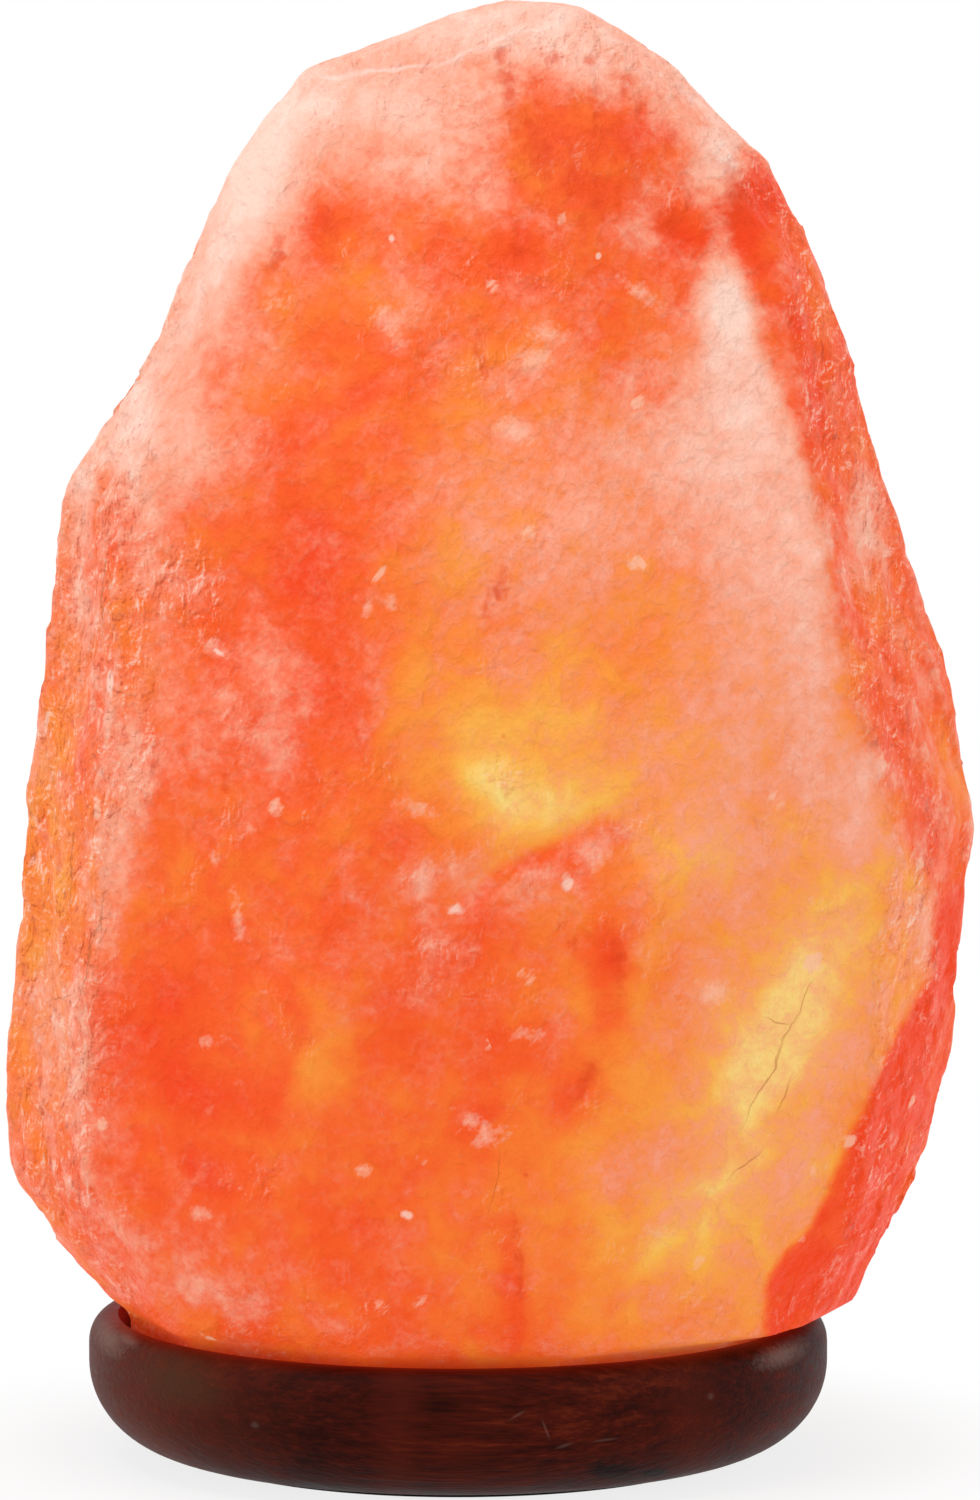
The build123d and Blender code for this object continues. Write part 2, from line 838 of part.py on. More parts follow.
with BuildPart() as bulb_glass:
    with BuildSketch(Plane.XZ):
        with BuildLine():
            pear_outline(0)
            pear_outline(glass_wall)
            Line((0, bulb_top), (0, bulb_top - glass_wall))
            Polyline(
                (glass_neck_radius, curve_height),
                (glass_neck_radius, glass_bottom),
                (glass_neck_radius - glass_wall, glass_bottom),
                (glass_neck_radius - glass_wall, curve_height),
            )
        make_face()
    revolve(axis=Axis.Z)

bulb_glass.part.label = "bulb_glass"
export_step(bulb_glass.part, "parts/bulb_glass.step")


# Bulb stem: a glass flare that closes the neck, with a tube that carries the wires
flare_share = 0.25
stem_share = 0.585
stem_radius = 2.0
flare_height = flare_share * (ball_height - glass_bottom)
stem_top = glass_bottom + stem_share * (ball_height - glass_bottom)

with BuildPart() as bulb_stem:
    with BuildSketch(Plane.XZ):
        with BuildLine():
            flare_radius = glass_neck_radius - glass_wall - running_gap
            Line((0, stem_top), (0, glass_bottom))
            Line((0, glass_bottom), (flare_radius, glass_bottom))
            Line((flare_radius, glass_bottom), (flare_radius, glass_bottom + glass_wall))
            ThreePointArc(
                (flare_radius, glass_bottom + glass_wall),
                (stem_radius + (flare_radius - stem_radius) / 4, glass_bottom + flare_height / 2),
                (stem_radius, glass_bottom + flare_height),
            )
            Polyline((stem_radius, glass_bottom + flare_height), (stem_radius, stem_top), (0, stem_top))
        make_face()
    revolve(axis=Axis.Z)

bulb_stem.part.label = "bulb_stem"
export_step(bulb_stem.part, "parts/bulb_stem.step")


# Wires on the stem: two leads that spread to the filament's ends, and two supports between them
wire_radius = 0.3
wire_foot = stem_radius - 2 * wire_radius
filament_reach_share = 0.6
filament_rise_share = 0.15
filament_reach = bulb_radius * filament_reach_share
filament_height = ball_height + bulb_radius * filament_rise_share
support_reach = filament_reach / 3
filament_radius = 0.25
filament_dip = 2.4

with BuildPart() as lead_wires:
    for side in (-1, 1):
        with BuildLine() as lead_path:
            FilletPolyline(
                (side * wire_foot, 0, stem_top),
                (side * wire_foot, 0, stem_top + wire_foot),
                (side * filament_reach, 0, filament_height),
                radius=2 * wire_radius,
            )
        with BuildSketch(Plane.XY.offset(stem_top)):
            with Locations((side * wire_foot, 0)):
                Circle(wire_radius)
        sweep(path=lead_path.line)

lead_wires.part.label = "lead_wires"
export_step(lead_wires.part, "parts/lead_wires.step")

with BuildPart() as support_wires:
    for side in (-1, 1):
        with BuildLine() as support_path:
            support_top = filament_height - filament_radius - running_gap
            FilletPolyline(
                (0, side * wire_foot, stem_top),
                (0, side * wire_foot, stem_top + wire_foot),
                (side * support_reach, 0, support_top),
                radius=2 * wire_radius,
            )
        with BuildSketch(Plane.XY.offset(stem_top)):
            with Locations((0, side * wire_foot)):
                Circle(wire_radius / 2)
        sweep(path=support_path.line)

support_wires.part.label = "support_wires"
export_step(support_wires.part, "parts/support_wires.step")

with BuildPart() as filament:
    with BuildLine(Plane.XZ) as filament_path:
        filament_end = filament_reach - wire_radius - filament_radius
        FilletPolyline(
            (-filament_end, filament_height),
            (-support_reach, filament_height),
            (0, filament_height - filament_dip / 2),
            (support_reach, filament_height),
            (filament_end, filament_height),
            radius=filament_radius * 2,
        )
    with BuildSketch(Plane.YZ.offset(-filament_end)):
        with Locations((0, filament_height)):
            Circle(filament_radius)
    sweep(path=filament_path.line)

filament.part.label = "filament"
export_step(filament.part, "parts/filament.step")
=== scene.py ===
import math
import random

import bpy
import numpy as np
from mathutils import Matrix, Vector, noise


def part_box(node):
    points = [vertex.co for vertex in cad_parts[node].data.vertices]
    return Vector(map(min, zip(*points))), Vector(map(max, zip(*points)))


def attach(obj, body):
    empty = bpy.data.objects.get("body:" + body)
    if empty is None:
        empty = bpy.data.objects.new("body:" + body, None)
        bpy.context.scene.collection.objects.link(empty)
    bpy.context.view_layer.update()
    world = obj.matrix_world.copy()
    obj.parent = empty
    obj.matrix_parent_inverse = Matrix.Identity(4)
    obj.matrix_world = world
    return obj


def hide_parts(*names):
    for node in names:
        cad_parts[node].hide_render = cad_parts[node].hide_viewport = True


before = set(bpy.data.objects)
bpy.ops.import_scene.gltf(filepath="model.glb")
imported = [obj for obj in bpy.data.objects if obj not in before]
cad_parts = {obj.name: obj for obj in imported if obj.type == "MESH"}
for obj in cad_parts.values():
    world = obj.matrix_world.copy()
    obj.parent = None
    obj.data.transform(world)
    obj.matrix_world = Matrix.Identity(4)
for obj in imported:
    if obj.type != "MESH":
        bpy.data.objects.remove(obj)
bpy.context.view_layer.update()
scene = bpy.context.scene
scene.view_settings.view_transform = "Standard"


# The studio. The camera stands where the photograph was taken from, with a long lens 1.2 m away
# that looks slightly down. The floor is a wide pale sheet, and the room beyond it is white.
# A wide soft lamp hangs overhead, and a tall one stands at each side.
camera_place = (0.0044, -1.2, 0.2179)
camera_tilt = math.radians(84.258)
camera_lens = 210.7
camera_sensor = 36.0
camera_sight = 60.0
white = (1, 1, 1, 1)
white_glow = 1.0
room_glow = 0.40
floor_reach = 6.0
floor_drop = 0.0001
floor_grey = (0.94, 0.94, 0.94, 1)
shadow_start, shadow_end = 0.050, 0.095
shadow_white = 0.82
lamp_aim = Vector((0, 0, 0.1))

camera_data = bpy.data.cameras.new("camera")
camera_data.lens = camera_lens
camera_data.sensor_width = camera_sensor
camera_data.clip_end = camera_sight
camera = bpy.data.objects.new("camera", camera_data)
camera.location = camera_place
camera.rotation_euler = (camera_tilt, 0, 0)
scene.collection.objects.link(camera)
scene.camera = camera


def feed(tree, node, inputs):
    """Sets the inputs of a node to plain values, or links them to sockets."""
    for key, value in inputs.items():
        if isinstance(value, bpy.types.NodeSocket):
            tree.links.new(value, node.inputs[key])
        else:
            node.inputs[key].default_value = value


def add_node(tree, kind, inputs=None, **settings):
    """A node of this kind, with its settings and its inputs."""
    made = tree.nodes.new(kind)
    for key, value in settings.items():
        setattr(made, key, value)
    feed(tree, made, inputs or {})
    return made


def length_of(tree, vector):
    return add_node(tree, "ShaderNodeVectorMath", {0: vector}, operation="LENGTH").outputs["Value"]


def seen_directly(tree):
    """1 for rays from the camera, through glass or mirrored by a gloss, and 0 for the room's light."""
    path = add_node(tree, "ShaderNodeLightPath")
    seen = path.outputs["Is Camera Ray"]
    for ray in ("Is Transmission Ray", "Is Glossy Ray"):
        both = {0: seen, 1: path.outputs[ray]}
        seen = add_node(tree, "ShaderNodeMath", both, operation="MAXIMUM").outputs[0]
    return seen


room = bpy.data.worlds.new("room")
room.use_nodes = True
room_tree = room.node_tree
room_tree.nodes.clear()
room_light = add_node(room_tree, "ShaderNodeBackground", {"Color": white, "Strength": room_glow})
room_white = add_node(room_tree, "ShaderNodeBackground", {"Color": white, "Strength": white_glow})
room_mix = add_node(room_tree, "ShaderNodeMixShader",
                    {0: seen_directly(room_tree), 1: room_light.outputs[0], 2: room_white.outputs[0]})
add_node(room_tree, "ShaderNodeOutputWorld", {"Surface": room_mix.outputs[0]})
scene.world = room

# Near the lamp the floor keeps a trace of its shadow, and further off it is as white as the room
floor_corners = [(-floor_reach, -floor_reach), (floor_reach, -floor_reach),
                 (floor_reach, floor_reach), (-floor_reach, floor_reach)]
floor_mesh = bpy.data.meshes.new("floor")
floor_mesh.from_pydata([(x, y, -floor_drop) for x, y in floor_corners], [], [(0, 1, 2, 3)])
floor = bpy.data.objects.new("floor", floor_mesh)
scene.collection.objects.link(floor)
floor_paint = bpy.data.materials.new("floor_paint")
floor_paint.use_nodes = True
floor_tree = floor_paint.node_tree
floor_tree.nodes.clear()
floor_matt = add_node(floor_tree, "ShaderNodeBsdfDiffuse", {"Color": floor_grey})
floor_white = add_node(floor_tree, "ShaderNodeEmission", {"Color": white, "Strength": white_glow})
floor_place = add_node(floor_tree, "ShaderNodeTexCoord").outputs["Object"]
floor_fade = add_node(floor_tree, "ShaderNodeMapRange",
                      {"Value": length_of(floor_tree, floor_place),
                       "From Min": shadow_start, "From Max": shadow_end,
                       "To Min": shadow_white, "To Max": 1.0}, interpolation_type="SMOOTHSTEP").outputs[0]
floor_share = add_node(floor_tree, "ShaderNodeMath", {0: seen_directly(floor_tree), 1: floor_fade},
                       operation="MULTIPLY")
floor_mix = add_node(floor_tree, "ShaderNodeMixShader",
                     {0: floor_share.outputs[0], 1: floor_matt.outputs[0], 2: floor_white.outputs[0]})
add_node(floor_tree, "ShaderNodeOutputMaterial", {"Surface": floor_mix.outputs[0]})
floor_mesh.materials.append(floor_paint)

# Each lamp: its name, its place, its two sides and its power
softboxes = [
    ("lamp_overhead", (-0.25, -0.30, 1.25), (0.9, 0.7), 6.3),
    ("lamp_left", (-1.1, -0.75, 0.55), (0.5, 1.1), 3.3),
    ("lamp_right", (1.15, -0.55, 0.50), (0.4, 1.0), 2.5),
]
for name, place, sides, power in softboxes:
    lamp_data = bpy.data.lights.new(name, "AREA")
    lamp_data.shape = "RECTANGLE"
    lamp_data.size, lamp_data.size_y = sides
    lamp_data.energy = power
    lamp = bpy.data.objects.new(name, lamp_data)
    lamp.location = place
    lamp.rotation_euler = (lamp_aim - Vector(place)).to_track_quat("-Z", "Y").to_euler()
    scene.collection.objects.link(lamp)


# The salt crystal. One lump of natural rock salt, split off with a chisel and left rough on its
# sides, then washed so that its edges are soft. The bulb inside lights it from the hollow, and its
# glow is painted into the salt as a light of its own, yellow where the salt is thin and clear, and
# red where it is thick. It is bored from below.
mm = 0.001
fine_pitch = 0.0010
hollow_depth = 0.095
hollow_skin = 0.002
hollow_reach = 0.0245
foot_height = 0.0205
soft_height = 0.0265
softening_rounds = 14
salt_seed = 7
salt_warmth = 0.215
salt_paleness = 0.09
hidden_spots = 46
pit_step = 0.00022


def fine_copy(node, name, pitch):
    """A copy of a solid as a new object, remeshed into small even faces."""
    piece = bpy.data.objects.new(name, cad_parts[node].data.copy())
    scene.collection.objects.link(piece)
    remesh = piece.modifiers.new("even_faces", "REMESH")
    remesh.mode = "VOXEL"
    remesh.voxel_size = pitch
    settled = piece.evaluated_get(bpy.context.evaluated_depsgraph_get())
    mesh = bpy.data.meshes.new_from_object(settled)
    piece.modifiers.clear()
    piece.data = mesh
    mesh.name = name
    mesh.materials.clear()
    mesh.shade_smooth()
    return piece


def read_vectors(rows, key):
    """The points or the normals of a mesh, as an array."""
    values = np.zeros(len(rows) * 3, np.float32)
    rows.foreach_get(key, values)
    return values.reshape(-1, 3).astype(float)


def write_points(mesh, points):
    mesh.vertices.foreach_set("co", points.astype(np.float32).ravel())
    mesh.update()


class Neighbours:
    """The edges of a mesh, for averages over each point's neighbours."""

    def __init__(self, mesh):
        ends = np.zeros(len(mesh.edges) * 2, np.int32)
        mesh.edges.foreach_get("vertices", ends)
        self.first, self.second = ends.reshape(-1, 2).T
        self.size = len(mesh.vertices)
        self.count = np.bincount(ends, minlength=self.size)

    def mean(self, values):
        """The mean of each point's neighbours."""
        total = [np.bincount(self.first, column[self.second], self.size)
                 + np.bincount(self.second, column[self.first], self.size)
                 for column in values.reshape(self.size, -1).T]
        return (np.array(total) / np.maximum(self.count, 1)).T.reshape(values.shape)

    def softened(self, values, rounds, share=0.5):
        """The values after some rounds of moving towards the neighbours' mean."""
        for _ in range(rounds):
            values = values + (self.mean(values) - values) * share
        return values


def ramp_up(values, low, high):
    """0 below low, 1 above high, and a smooth rise between."""
    t = np.clip((values - low) / (high - low), 0, 1)
    return t * t * (3 - 2 * t)


def clouds(points, size, seed, octaves=1):
    """Soft noise from about -1 to 1 at each point, with bumps of this size."""
    shift = Vector((seed * 7.31, seed * 3.17, seed * 5.73))
    if octaves == 1:
        return np.array([noise.noise(Vector(p) / size + shift) for p in points])
    return np.array([noise.fractal(Vector(p) / size + shift, 0.9, 2.1, octaves) for p in points])


def flakes(points, size, seed, tilt):
    """Flat chips of this size: each cell of space leans its own way, and steps down to its neighbours."""
    shift = Vector((seed * 1.7, seed * 2.9, seed * 4.3))
    heights = np.zeros(len(points))
    for k, p in enumerate(points):
        v = Vector(p) / size + shift
        centre = noise.voronoi(v)[1][0]
        lean = noise.cell_vector(centre * 3.7) - Vector((0.5, 0.5, 0.5))
        heights[k] = lean.dot(v - centre) * tilt + (noise.cell(centre * 5.3) - 0.5) * 0.3
    return heights


crystal = fine_copy("salt_crystal", "rough_salt_crystal", fine_pitch)
salt_points = read_vectors(crystal.data.vertices, "co")
salt_links = Neighbours(crystal.data)
axis_distance = np.hypot(salt_points[:, 0], salt_points[:, 1])
hollow_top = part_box("salt_crystal")[0].z + hollow_depth + hollow_skin
inside_hollow = (axis_distance < hollow_reach) & (salt_points[:, 2] < hollow_top)
free_share = ramp_up(salt_points[:, 2], foot_height, soft_height) * ~inside_hollow

# The broad faces meet in worn edges
salt_points = salt_links.softened(salt_points, softening_rounds, 0.5 * free_share[:, None])
write_points(crystal.data, salt_points)
salt_normals = salt_links.softened(read_vectors(crystal.data.vertex_normals, "vector"), 12)
salt_normals /= np.linalg.norm(salt_normals, axis=1)[:, None]
left_side = ramp_up(-salt_normals[:, 0], 0.62, 0.86) * ramp_up(-salt_points[:, 0], 0.030, 0.045)
right_side = ramp_up(salt_normals[:, 0], 0.50, 0.78)
front_side = ramp_up(-salt_normals[:, 1], -0.25, 0.15)
behind = 1 - front_side
rough_side = np.clip(left_side + 0.8 * right_side + 0.7 * behind, 0, 1)

# Lumps of three sizes everywhere, and on the split sides flat chips, large and small
heights = np.zeros(len(salt_points))
for step, (height, size) in enumerate([(0.00085, 0.030), (0.00045, 0.012), (0.00016, 0.005)]):
    heights += height * clouds(salt_points, size, salt_seed + step)
chip_points = salt_points * np.array([1, 0.45, 0.65])
heights += rough_side * 0.0007 * flakes(salt_points, 0.009, salt_seed + 3, 1.2)
heights += rough_side * 0.00048 * flakes(chip_points, 0.0042, salt_seed + 4, 1.3)
heights += rough_side * 0.00030 * clouds(chip_points, 0.005, salt_seed + 5, 3)


def along_line(points, line):
    """The distance from each point, seen from the front, to a line through corners in x and z."""
    flat = points[:, [0, 2]]
    nearest = np.full(len(points), 1.0)
    for start, end in zip(line, line[1:]):
        start, end = np.array(start), np.array(end)
        step = end - start
        share = np.clip(((flat - start) @ step) / (step @ step), 0, 1)
        nearest = np.minimum(nearest, np.linalg.norm(flat - start - share[:, None] * step, axis=1))
    return nearest


# Folds that the photograph shows on the front, as lines of x and z, with a width and a depth.
# The bulb's glow ends at the first of them.
glow_fold = [(0.0018, 0.0840), (0.0057, 0.0877), (0.0136, 0.0909),
             (0.0187, 0.0939), (0.0221, 0.0930), (0.0235, 0.0880)]
front_folds = [
    (glow_fold, 0.0016, 0.0008),
    ([(-0.0175, 0.1240), (-0.0165, 0.1120), (-0.0120, 0.1000)], 0.0040, 0.0006),
    ([(0.0075, 0.0380), (0.0065, 0.0290), (0.0050, 0.0230)], 0.0025, 0.0006),
    ([(-0.0270, 0.1870), (-0.0160, 0.1890), (0.0030, 0.1915), (0.0170, 0.1950)], 0.0022, 0.0007),
]
for line, width, depth in front_folds:
    heights -= front_side * depth * np.exp(-((along_line(salt_points, line) / width) ** 2))
salt_points = salt_points + salt_normals * (heights * free_share)[:, None]
write_points(crystal.data, salt_points)

# How sharply each place stands out, for the frost on the edges
salt_normals = read_vectors(crystal.data.vertex_normals, "vector")
standing_out = np.sum((salt_points - salt_links.softened(salt_points, 16)) * salt_normals, axis=1)
edge_share = ramp_up(standing_out, 0.00006, 0.00042) * free_share


def oval_reach(points, x, z, half_width, half_height, lean):
    """How far each point lies from an oval's middle, seen from the front: 1 on its edge."""
    turn = math.radians(lean)
    dx, dz = points[:, 0] - x * mm, points[:, 2] - z * mm
    across = (dx * math.cos(turn) - dz * math.sin(turn)) / (half_width * mm)
    along = (dx * math.sin(turn) + dz * math.cos(turn)) / (half_height * mm)
    return np.hypot(across, along)


def soft_spots(points, rows):
    """The sum of soft oval spots, each with its strength at the end of its row."""
    return sum(row[5] * np.exp(-oval_reach(points, *row[:5]) ** 2.4) for row in rows)


def nearest_oval(points, rows):
    """The reach from the nearest of some ovals on the front, or 4 where all are far off."""
    nearest = np.min([oval_reach(points, *row) for row in rows], axis=0)
    in_front = points[:, 1] < -0.004
    return np.where(in_front, np.minimum(nearest, 4), 4)


# Warm and pale spots on the front. Each oval has its place across and up in millimetres, half its
# width and height, its lean to the right in degrees, and its strength, which is below 0 where it
# makes the salt redder or clearer. They are placed to match the photograph.
# The warm spots shape the bulb's painted glow in the salt
warm_front = [
    # Round the bulb's glow
    (4.2, 98.3, 5, 8, -15, 0.34), (10.5, 95.0, 8, 5, 20, 0.26), (6.0, 104, 17, 14, 0, 0.24),
    (16, 111, 12, 14, -15, 0.14), (-1.0, 114, 9, 13, 0, 0.16), (13.6, 95.9, 5, 6, 0, 0.10),
    (21.4, 101, 7, 7, 0, 0.08), (25.4, 82.7, 6, 6, 0, -0.08), (-13, 92, 8, 12, 0, -0.08),
    (-28, 104, 9, 12, 0, -0.06), (-16.0, 103.5, 6, 6, 0, -0.06), (3.0, 118.5, 6, 6, 0, -0.06),
    (8.5, 84.5, 9, 4, 10, 0.12), (-19.5, 122, 6, 22, 0, -0.16),
    # Low in the middle
    (24, 59, 5, 7, 0, 0.10), (22, 66, 6, 16, 15, 0.10), (29.0, 42.0, 20, 14, 30, 0.12),
    (16.0, 33.0, 14, 9, 0, 0.14), (-18.2, 62.0, 4, 7, 10, 0.30), (20.0, 73.5, 3.0, 9, -4, -0.34),
    (16.0, 58.0, 3, 7, 20, -0.15), (8.4, 52.3, 7, 7, 0, -0.08), (10.5, 37.3, 4, 6, 0, 0.10),
    (7.5, 32.0, 1.8, 8, -4, -0.25),
    # Down the right
    (47.6, 101, 9, 12, 0, 0.14), (31.9, 45.6, 8, 6, 0, -0.08), (58, 52, 5, 8, 0, -0.10),
    (43.5, 63.5, 5.5, 21, 24, 0.42), (55.0, 84.0, 5, 7, 0, -0.16), (50.0, 57.0, 4, 14, 25, 0.06),
    (36.0, 92.0, 12, 20, 0, 0.04), (42.0, 61.0, 12, 30, 22, 0.22), (56.0, 73.0, 6, 10, 0, 0.10),
    (31.0, 88.5, 9, 7, 0, 0.22), (58.0, 86.0, 6, 12, 0, 0.02),
    # Down the left
    (-57.0, 76.0, 7, 34, 0, 0.30), (-36.7, 58.2, 14, 17, 0, -0.12),
    # The upper half
    (4.0, 131, 12, 9, 20, 0.14), (25.0, 150, 8, 8, 0, 0.12), (-5.0, 155.0, 24, 20, 0, 0.05),
    (12.0, 139, 18, 10, 20, 0.12), (47.0, 152, 4, 16, -12, -0.15),
    # The crest
    (19.0, 180.0, 7, 6, 0, -0.14), (37.9, 173.5, 4, 7, 0, -0.40), (29.3, 170.2, 4, 4, 0, -0.18),
    (-18.9, 169.5, 4, 5, 0, -0.22), (8.0, 167.0, 4, 4, 0, -0.12),
]
pale_front = [
    # Round the bulb's glow
    (8.3, 117, 8, 8, 0, 0.12), (12.0, 122.6, 8, 6, 0, 0.08), (8.5, 84.5, 9, 4, 10, 0.18),
    (-20.5, 109.0, 6, 10, 0, 0.08), (-4.5, 85.5, 4, 4, 0, 0.20), (-27.5, 108, 8, 12, 0, 0.20),
    # Low in the middle
    (-4.8, 74.8, 7, 8, 0, 0.10), (5.7, 52.3, 6, 5, 0, -0.22), (-18.5, 61.6, 5, 7, 0, -0.12),
    (18.8, 37.7, 9, 7, 0, -0.10), (24.0, 58.9, 5, 8, 0, -0.12), (20, 73.5, 4, 7, 0, -0.26),
    (16, 58, 4, 7, 20, -0.12), (27.4, 46.0, 6, 6, 0, 0.20), (12.0, 26.7, 10, 4, 0, -0.10),
    # Down the right
    (48.0, 110, 7, 16, -8, 0.16), (54.0, 96, 4, 9, -8, 0.12), (58, 82.7, 4, 6, 0, -0.12),
    (52, 106, 4, 5, 0, -0.12), (35, 108, 9, 12, 0, 0.03), (33.2, 105.8, 8, 12, 0, 0.10),
    (53.2, 92.0, 4, 6, 0, 0.16), (62.3, 56.7, 4, 10, 0, -0.15), (54.2, 44.0, 5, 8, 0, -0.12),
    (31.0, 63.0, 5, 6, 0, 0.10), (36.0, 90.0, 12, 20, 0, 0.05), (55.0, 84.0, 5, 8, 0, 0.10),
    (52.0, 61.0, 4, 10, 25, 0.12), (46.0, 44.0, 4, 8, 25, 0.12), (63.0, 80.0, 3, 8, 0, 0.22),
    (31.9, 117.0, 7, 8, 0, -0.08), (48, 101, 6, 8, 0, 0.08), (34, 88, 8, 10, 0, 0.10),
    (36, 122, 6, 8, 0, 0.08), (62.0, 108, 4, 12, 0, 0.10), (62.0, 92, 4, 10, 0, 0.04),
    # Down the left
    (-50, 112, 4, 10, 0, 0.10), (-39.4, 122.6, 6, 14, 0, 0.14), (-56.0, 62.0, 3, 9, 0, 0.25),
    (-47.0, 78.0, 4, 10, 0, 0.16), (-51.8, 118.5, 3, 7, 0, 0.18), (-34.4, 31.0, 10, 4, 0, 0.15),
    (-32.0, 52.0, 16, 18, 0, -0.05), (-30.7, 114.0, 4, 6, 0, -0.12), (-36.0, 84.5, 8, 9, 0, -0.10),
    (-44.3, 112.0, 4, 6, 0, -0.16), (-33.0, 107.0, 7, 8, 0, -0.07), (-44.0, 91.0, 4, 6, 0, -0.10),
    (-55.6, 104.6, 3, 6, 0, -0.15), (-58.0, 80.0, 3, 10, 0, -0.15), (-32.0, 27.0, 14, 4, 0, 0.12),
    (-47, 116, 4, 12, 0, 0.20), (-45, 88, 4, 8, 0, 0.24), (-51, 62, 3, 9, 0, 0.16),
    (-36.7, 103, 8, 14, 0, 0.14), (-57.0, 99, 4, 8, 0, 0.15), (-43.5, 97, 3.5, 10, 0, 0.30),
    (-50.0, 51.6, 6, 12, 0, 0.16), (-43.0, 36.0, 8, 6, 0, 0.14),
    # The upper half
    (36.0, 160.0, 4, 6.5, -5, 0.62), (36.0, 146, 9, 11, 10, 0.34), (28.0, 139, 15, 7, 42, 0.22),
    (43.0, 130, 7, 12, -8, 0.16), (18.8, 139, 7, 8, 0, 0.16), (-7.4, 161.5, 7, 6, 0, 0.12),
    (5.7, 154.9, 5, 4, 0, -0.14), (55.5, 127.5, 4, 7, 0, 0.36), (-13, 157, 7, 6, 0, -0.10),
    (-11, 147, 7, 6, 0, -0.08), (24, 153, 9, 8, -20, -0.14), (-28.0, 161.7, 6, 8, 0, -0.20),
    (20.5, 130.0, 8, 7, 30, 0.14), (18.4, 145.0, 7, 5, 0, -0.12), (37.4, 151.0, 6, 7, 0, 0.14),
    (-5.0, 155.0, 24, 20, 0, 0.06), (27.4, 157.0, 4, 7, 0, 0.12), (8.0, 140.0, 14, 5, 0, 0.08),
    (53.9, 136.0, 3, 6, 0, -0.14), (-45.7, 125.0, 4, 13, 0, -0.22), (-36.0, 152.0, 4, 6, 0, 0.15),
    (40, 132.7, 6, 6, 0, -0.12), (-36, 139, 5, 6, 0, 0.18), (-49, 150, 4, 7, 20, -0.22),
    (-27, 154, 6, 7, 0, 0.10), (4.0, 131, 12, 9, 25, 0.20), (24.0, 151, 7, 7, 0, 0.16),
    (-46.0, 144, 6, 9, 20, 0.58), (-32.7, 142, 7, 7, 0, 0.25), (-36.0, 162, 6, 13, 22, 0.45),
    (-42.5, 133, 4, 15, 0, 0.30), (-52.0, 133, 4, 9, 0, 0.35), (53.5, 136.6, 3, 8, -8, 0.28),
    (12.0, 150, 14, 9, 20, 0.10), (-28.0, 157, 6, 8, 0, 0.18),
    # The crest
    (29.1, 170.5, 3, 3.5, 0, -0.26), (8.3, 167.3, 3, 3, 0, -0.16), (-17.2, 170, 3.5, 4.5, 0, -0.18),
    (39.5, 173, 3.5, 6, 0, -0.20), (30.6, 184.9, 6, 6, 0, -0.14), (-3.5, 186.2, 8, 5, 0, -0.04),
    (-0.6, 166.0, 6, 5, 0, -0.12), (35.8, 176.5, 3, 7, 0, 0.25), (-5.0, 176.0, 9, 4, 0, 0.14),
    (12.6, 189.0, 10, 4, 0, 0.12), (-21.0, 171.0, 4, 6, 0, 0.14), (-24.0, 168.0, 4, 6, 0, 0.15),
    (7.4, 172.0, 8, 4, 0, 0.15), (24.3, 169.0, 5, 5, 0, 0.20), (20.0, 187.5, 9, 3, 0, 0.14),
    (32.7, 166.0, 3, 5, 0, -0.12), (30.6, 181.0, 5, 6, 0, -0.08), (-29.0, 174.0, 4, 6, 0, 0.15),
    (16, 180, 9, 7, 0, -0.12), (35.2, 180, 5, 5, 0, 0.30), (-31, 170, 6, 14, 20, 0.20),
    (-36, 171, 4, 7, 20, -0.20), (2, 197, 22, 4, -6, 0.30), (-24.0, 184, 8, 8, 20, 0.45),
    (-7.7, 187, 13, 5, 0, 0.22), (32.0, 188, 6, 10, -30, 0.34), (13.5, 194, 12, 3, 0, 0.25),
    (-29.0, 172, 6, 13, 18, 0.36), (16.0, 180, 9, 8, 0, -0.42), (10.0, 189, 4, 4, 0, -0.25),
    (-5.0, 182, 14, 7, 10, 0.22), (29.0, 172, 5, 6, -20, 0.16),
]
# The ridge between the broad front and the redder right side: x and z from the foot to the top
ridge_x, ridge_z = np.array([
    (0.0417, 0.0303), (0.0463, 0.0355), (0.0502, 0.0415), (0.0524, 0.0484), (0.0552, 0.0552),
    (0.0594, 0.0620), (0.0650, 0.0688), (0.0638, 0.0788), (0.0630, 0.0832), (0.0583, 0.0893),
    (0.0556, 0.0990), (0.0512, 0.1106), (0.0502, 0.1170), (0.0493, 0.1275), (0.0450, 0.1432),
    (0.0398, 0.1549), (0.0365, 0.1690), (0.0345, 0.1850),
]).T
salt_x, salt_y, salt_z = salt_points.T
past_ridge = salt_x - np.interp(salt_z, ridge_z, ridge_x)
past_ridge += 0.0008 * clouds(salt_points, 0.006, salt_seed + 6, 3)
ridge_blur = 0.0012 + 0.0025 * np.exp(-((salt_z - 0.105) / 0.018) ** 2)
right_zone = front_side * ramp_up(past_ridge / ridge_blur, -1, 1)
broad_front = front_side * (1 - right_zone)
low_right = right_zone * (1 - ramp_up(salt_z, 0.070, 0.092))
right_half = broad_front * ramp_up(salt_x, 0.002, 0.034) * (1 - ramp_up(salt_z, 0.125, 0.150))
high_up = ramp_up(salt_z, 0.164, 0.194)

# Frost fans out along the ridge, wider towards the foot
fan_width = 0.010 + 0.018 * (1 - ramp_up(salt_z, 0.130, 0.162))
frosted_ridge = (1 - right_zone) * ramp_up(past_ridge / fan_width, -1, -0.1)
frosted_ridge *= ramp_up(salt_z, 0.080, 0.145) * (1 - ramp_up(salt_z, 0.160, 0.170))
warm = salt_warmth + 0.24 * right_half + front_side * soft_spots(salt_points, warm_front)
pale = salt_paleness + 0.10 * right_half + front_side * soft_spots(salt_points, pale_front)
pale += 0.34 * high_up + 0.32 * frosted_ridge

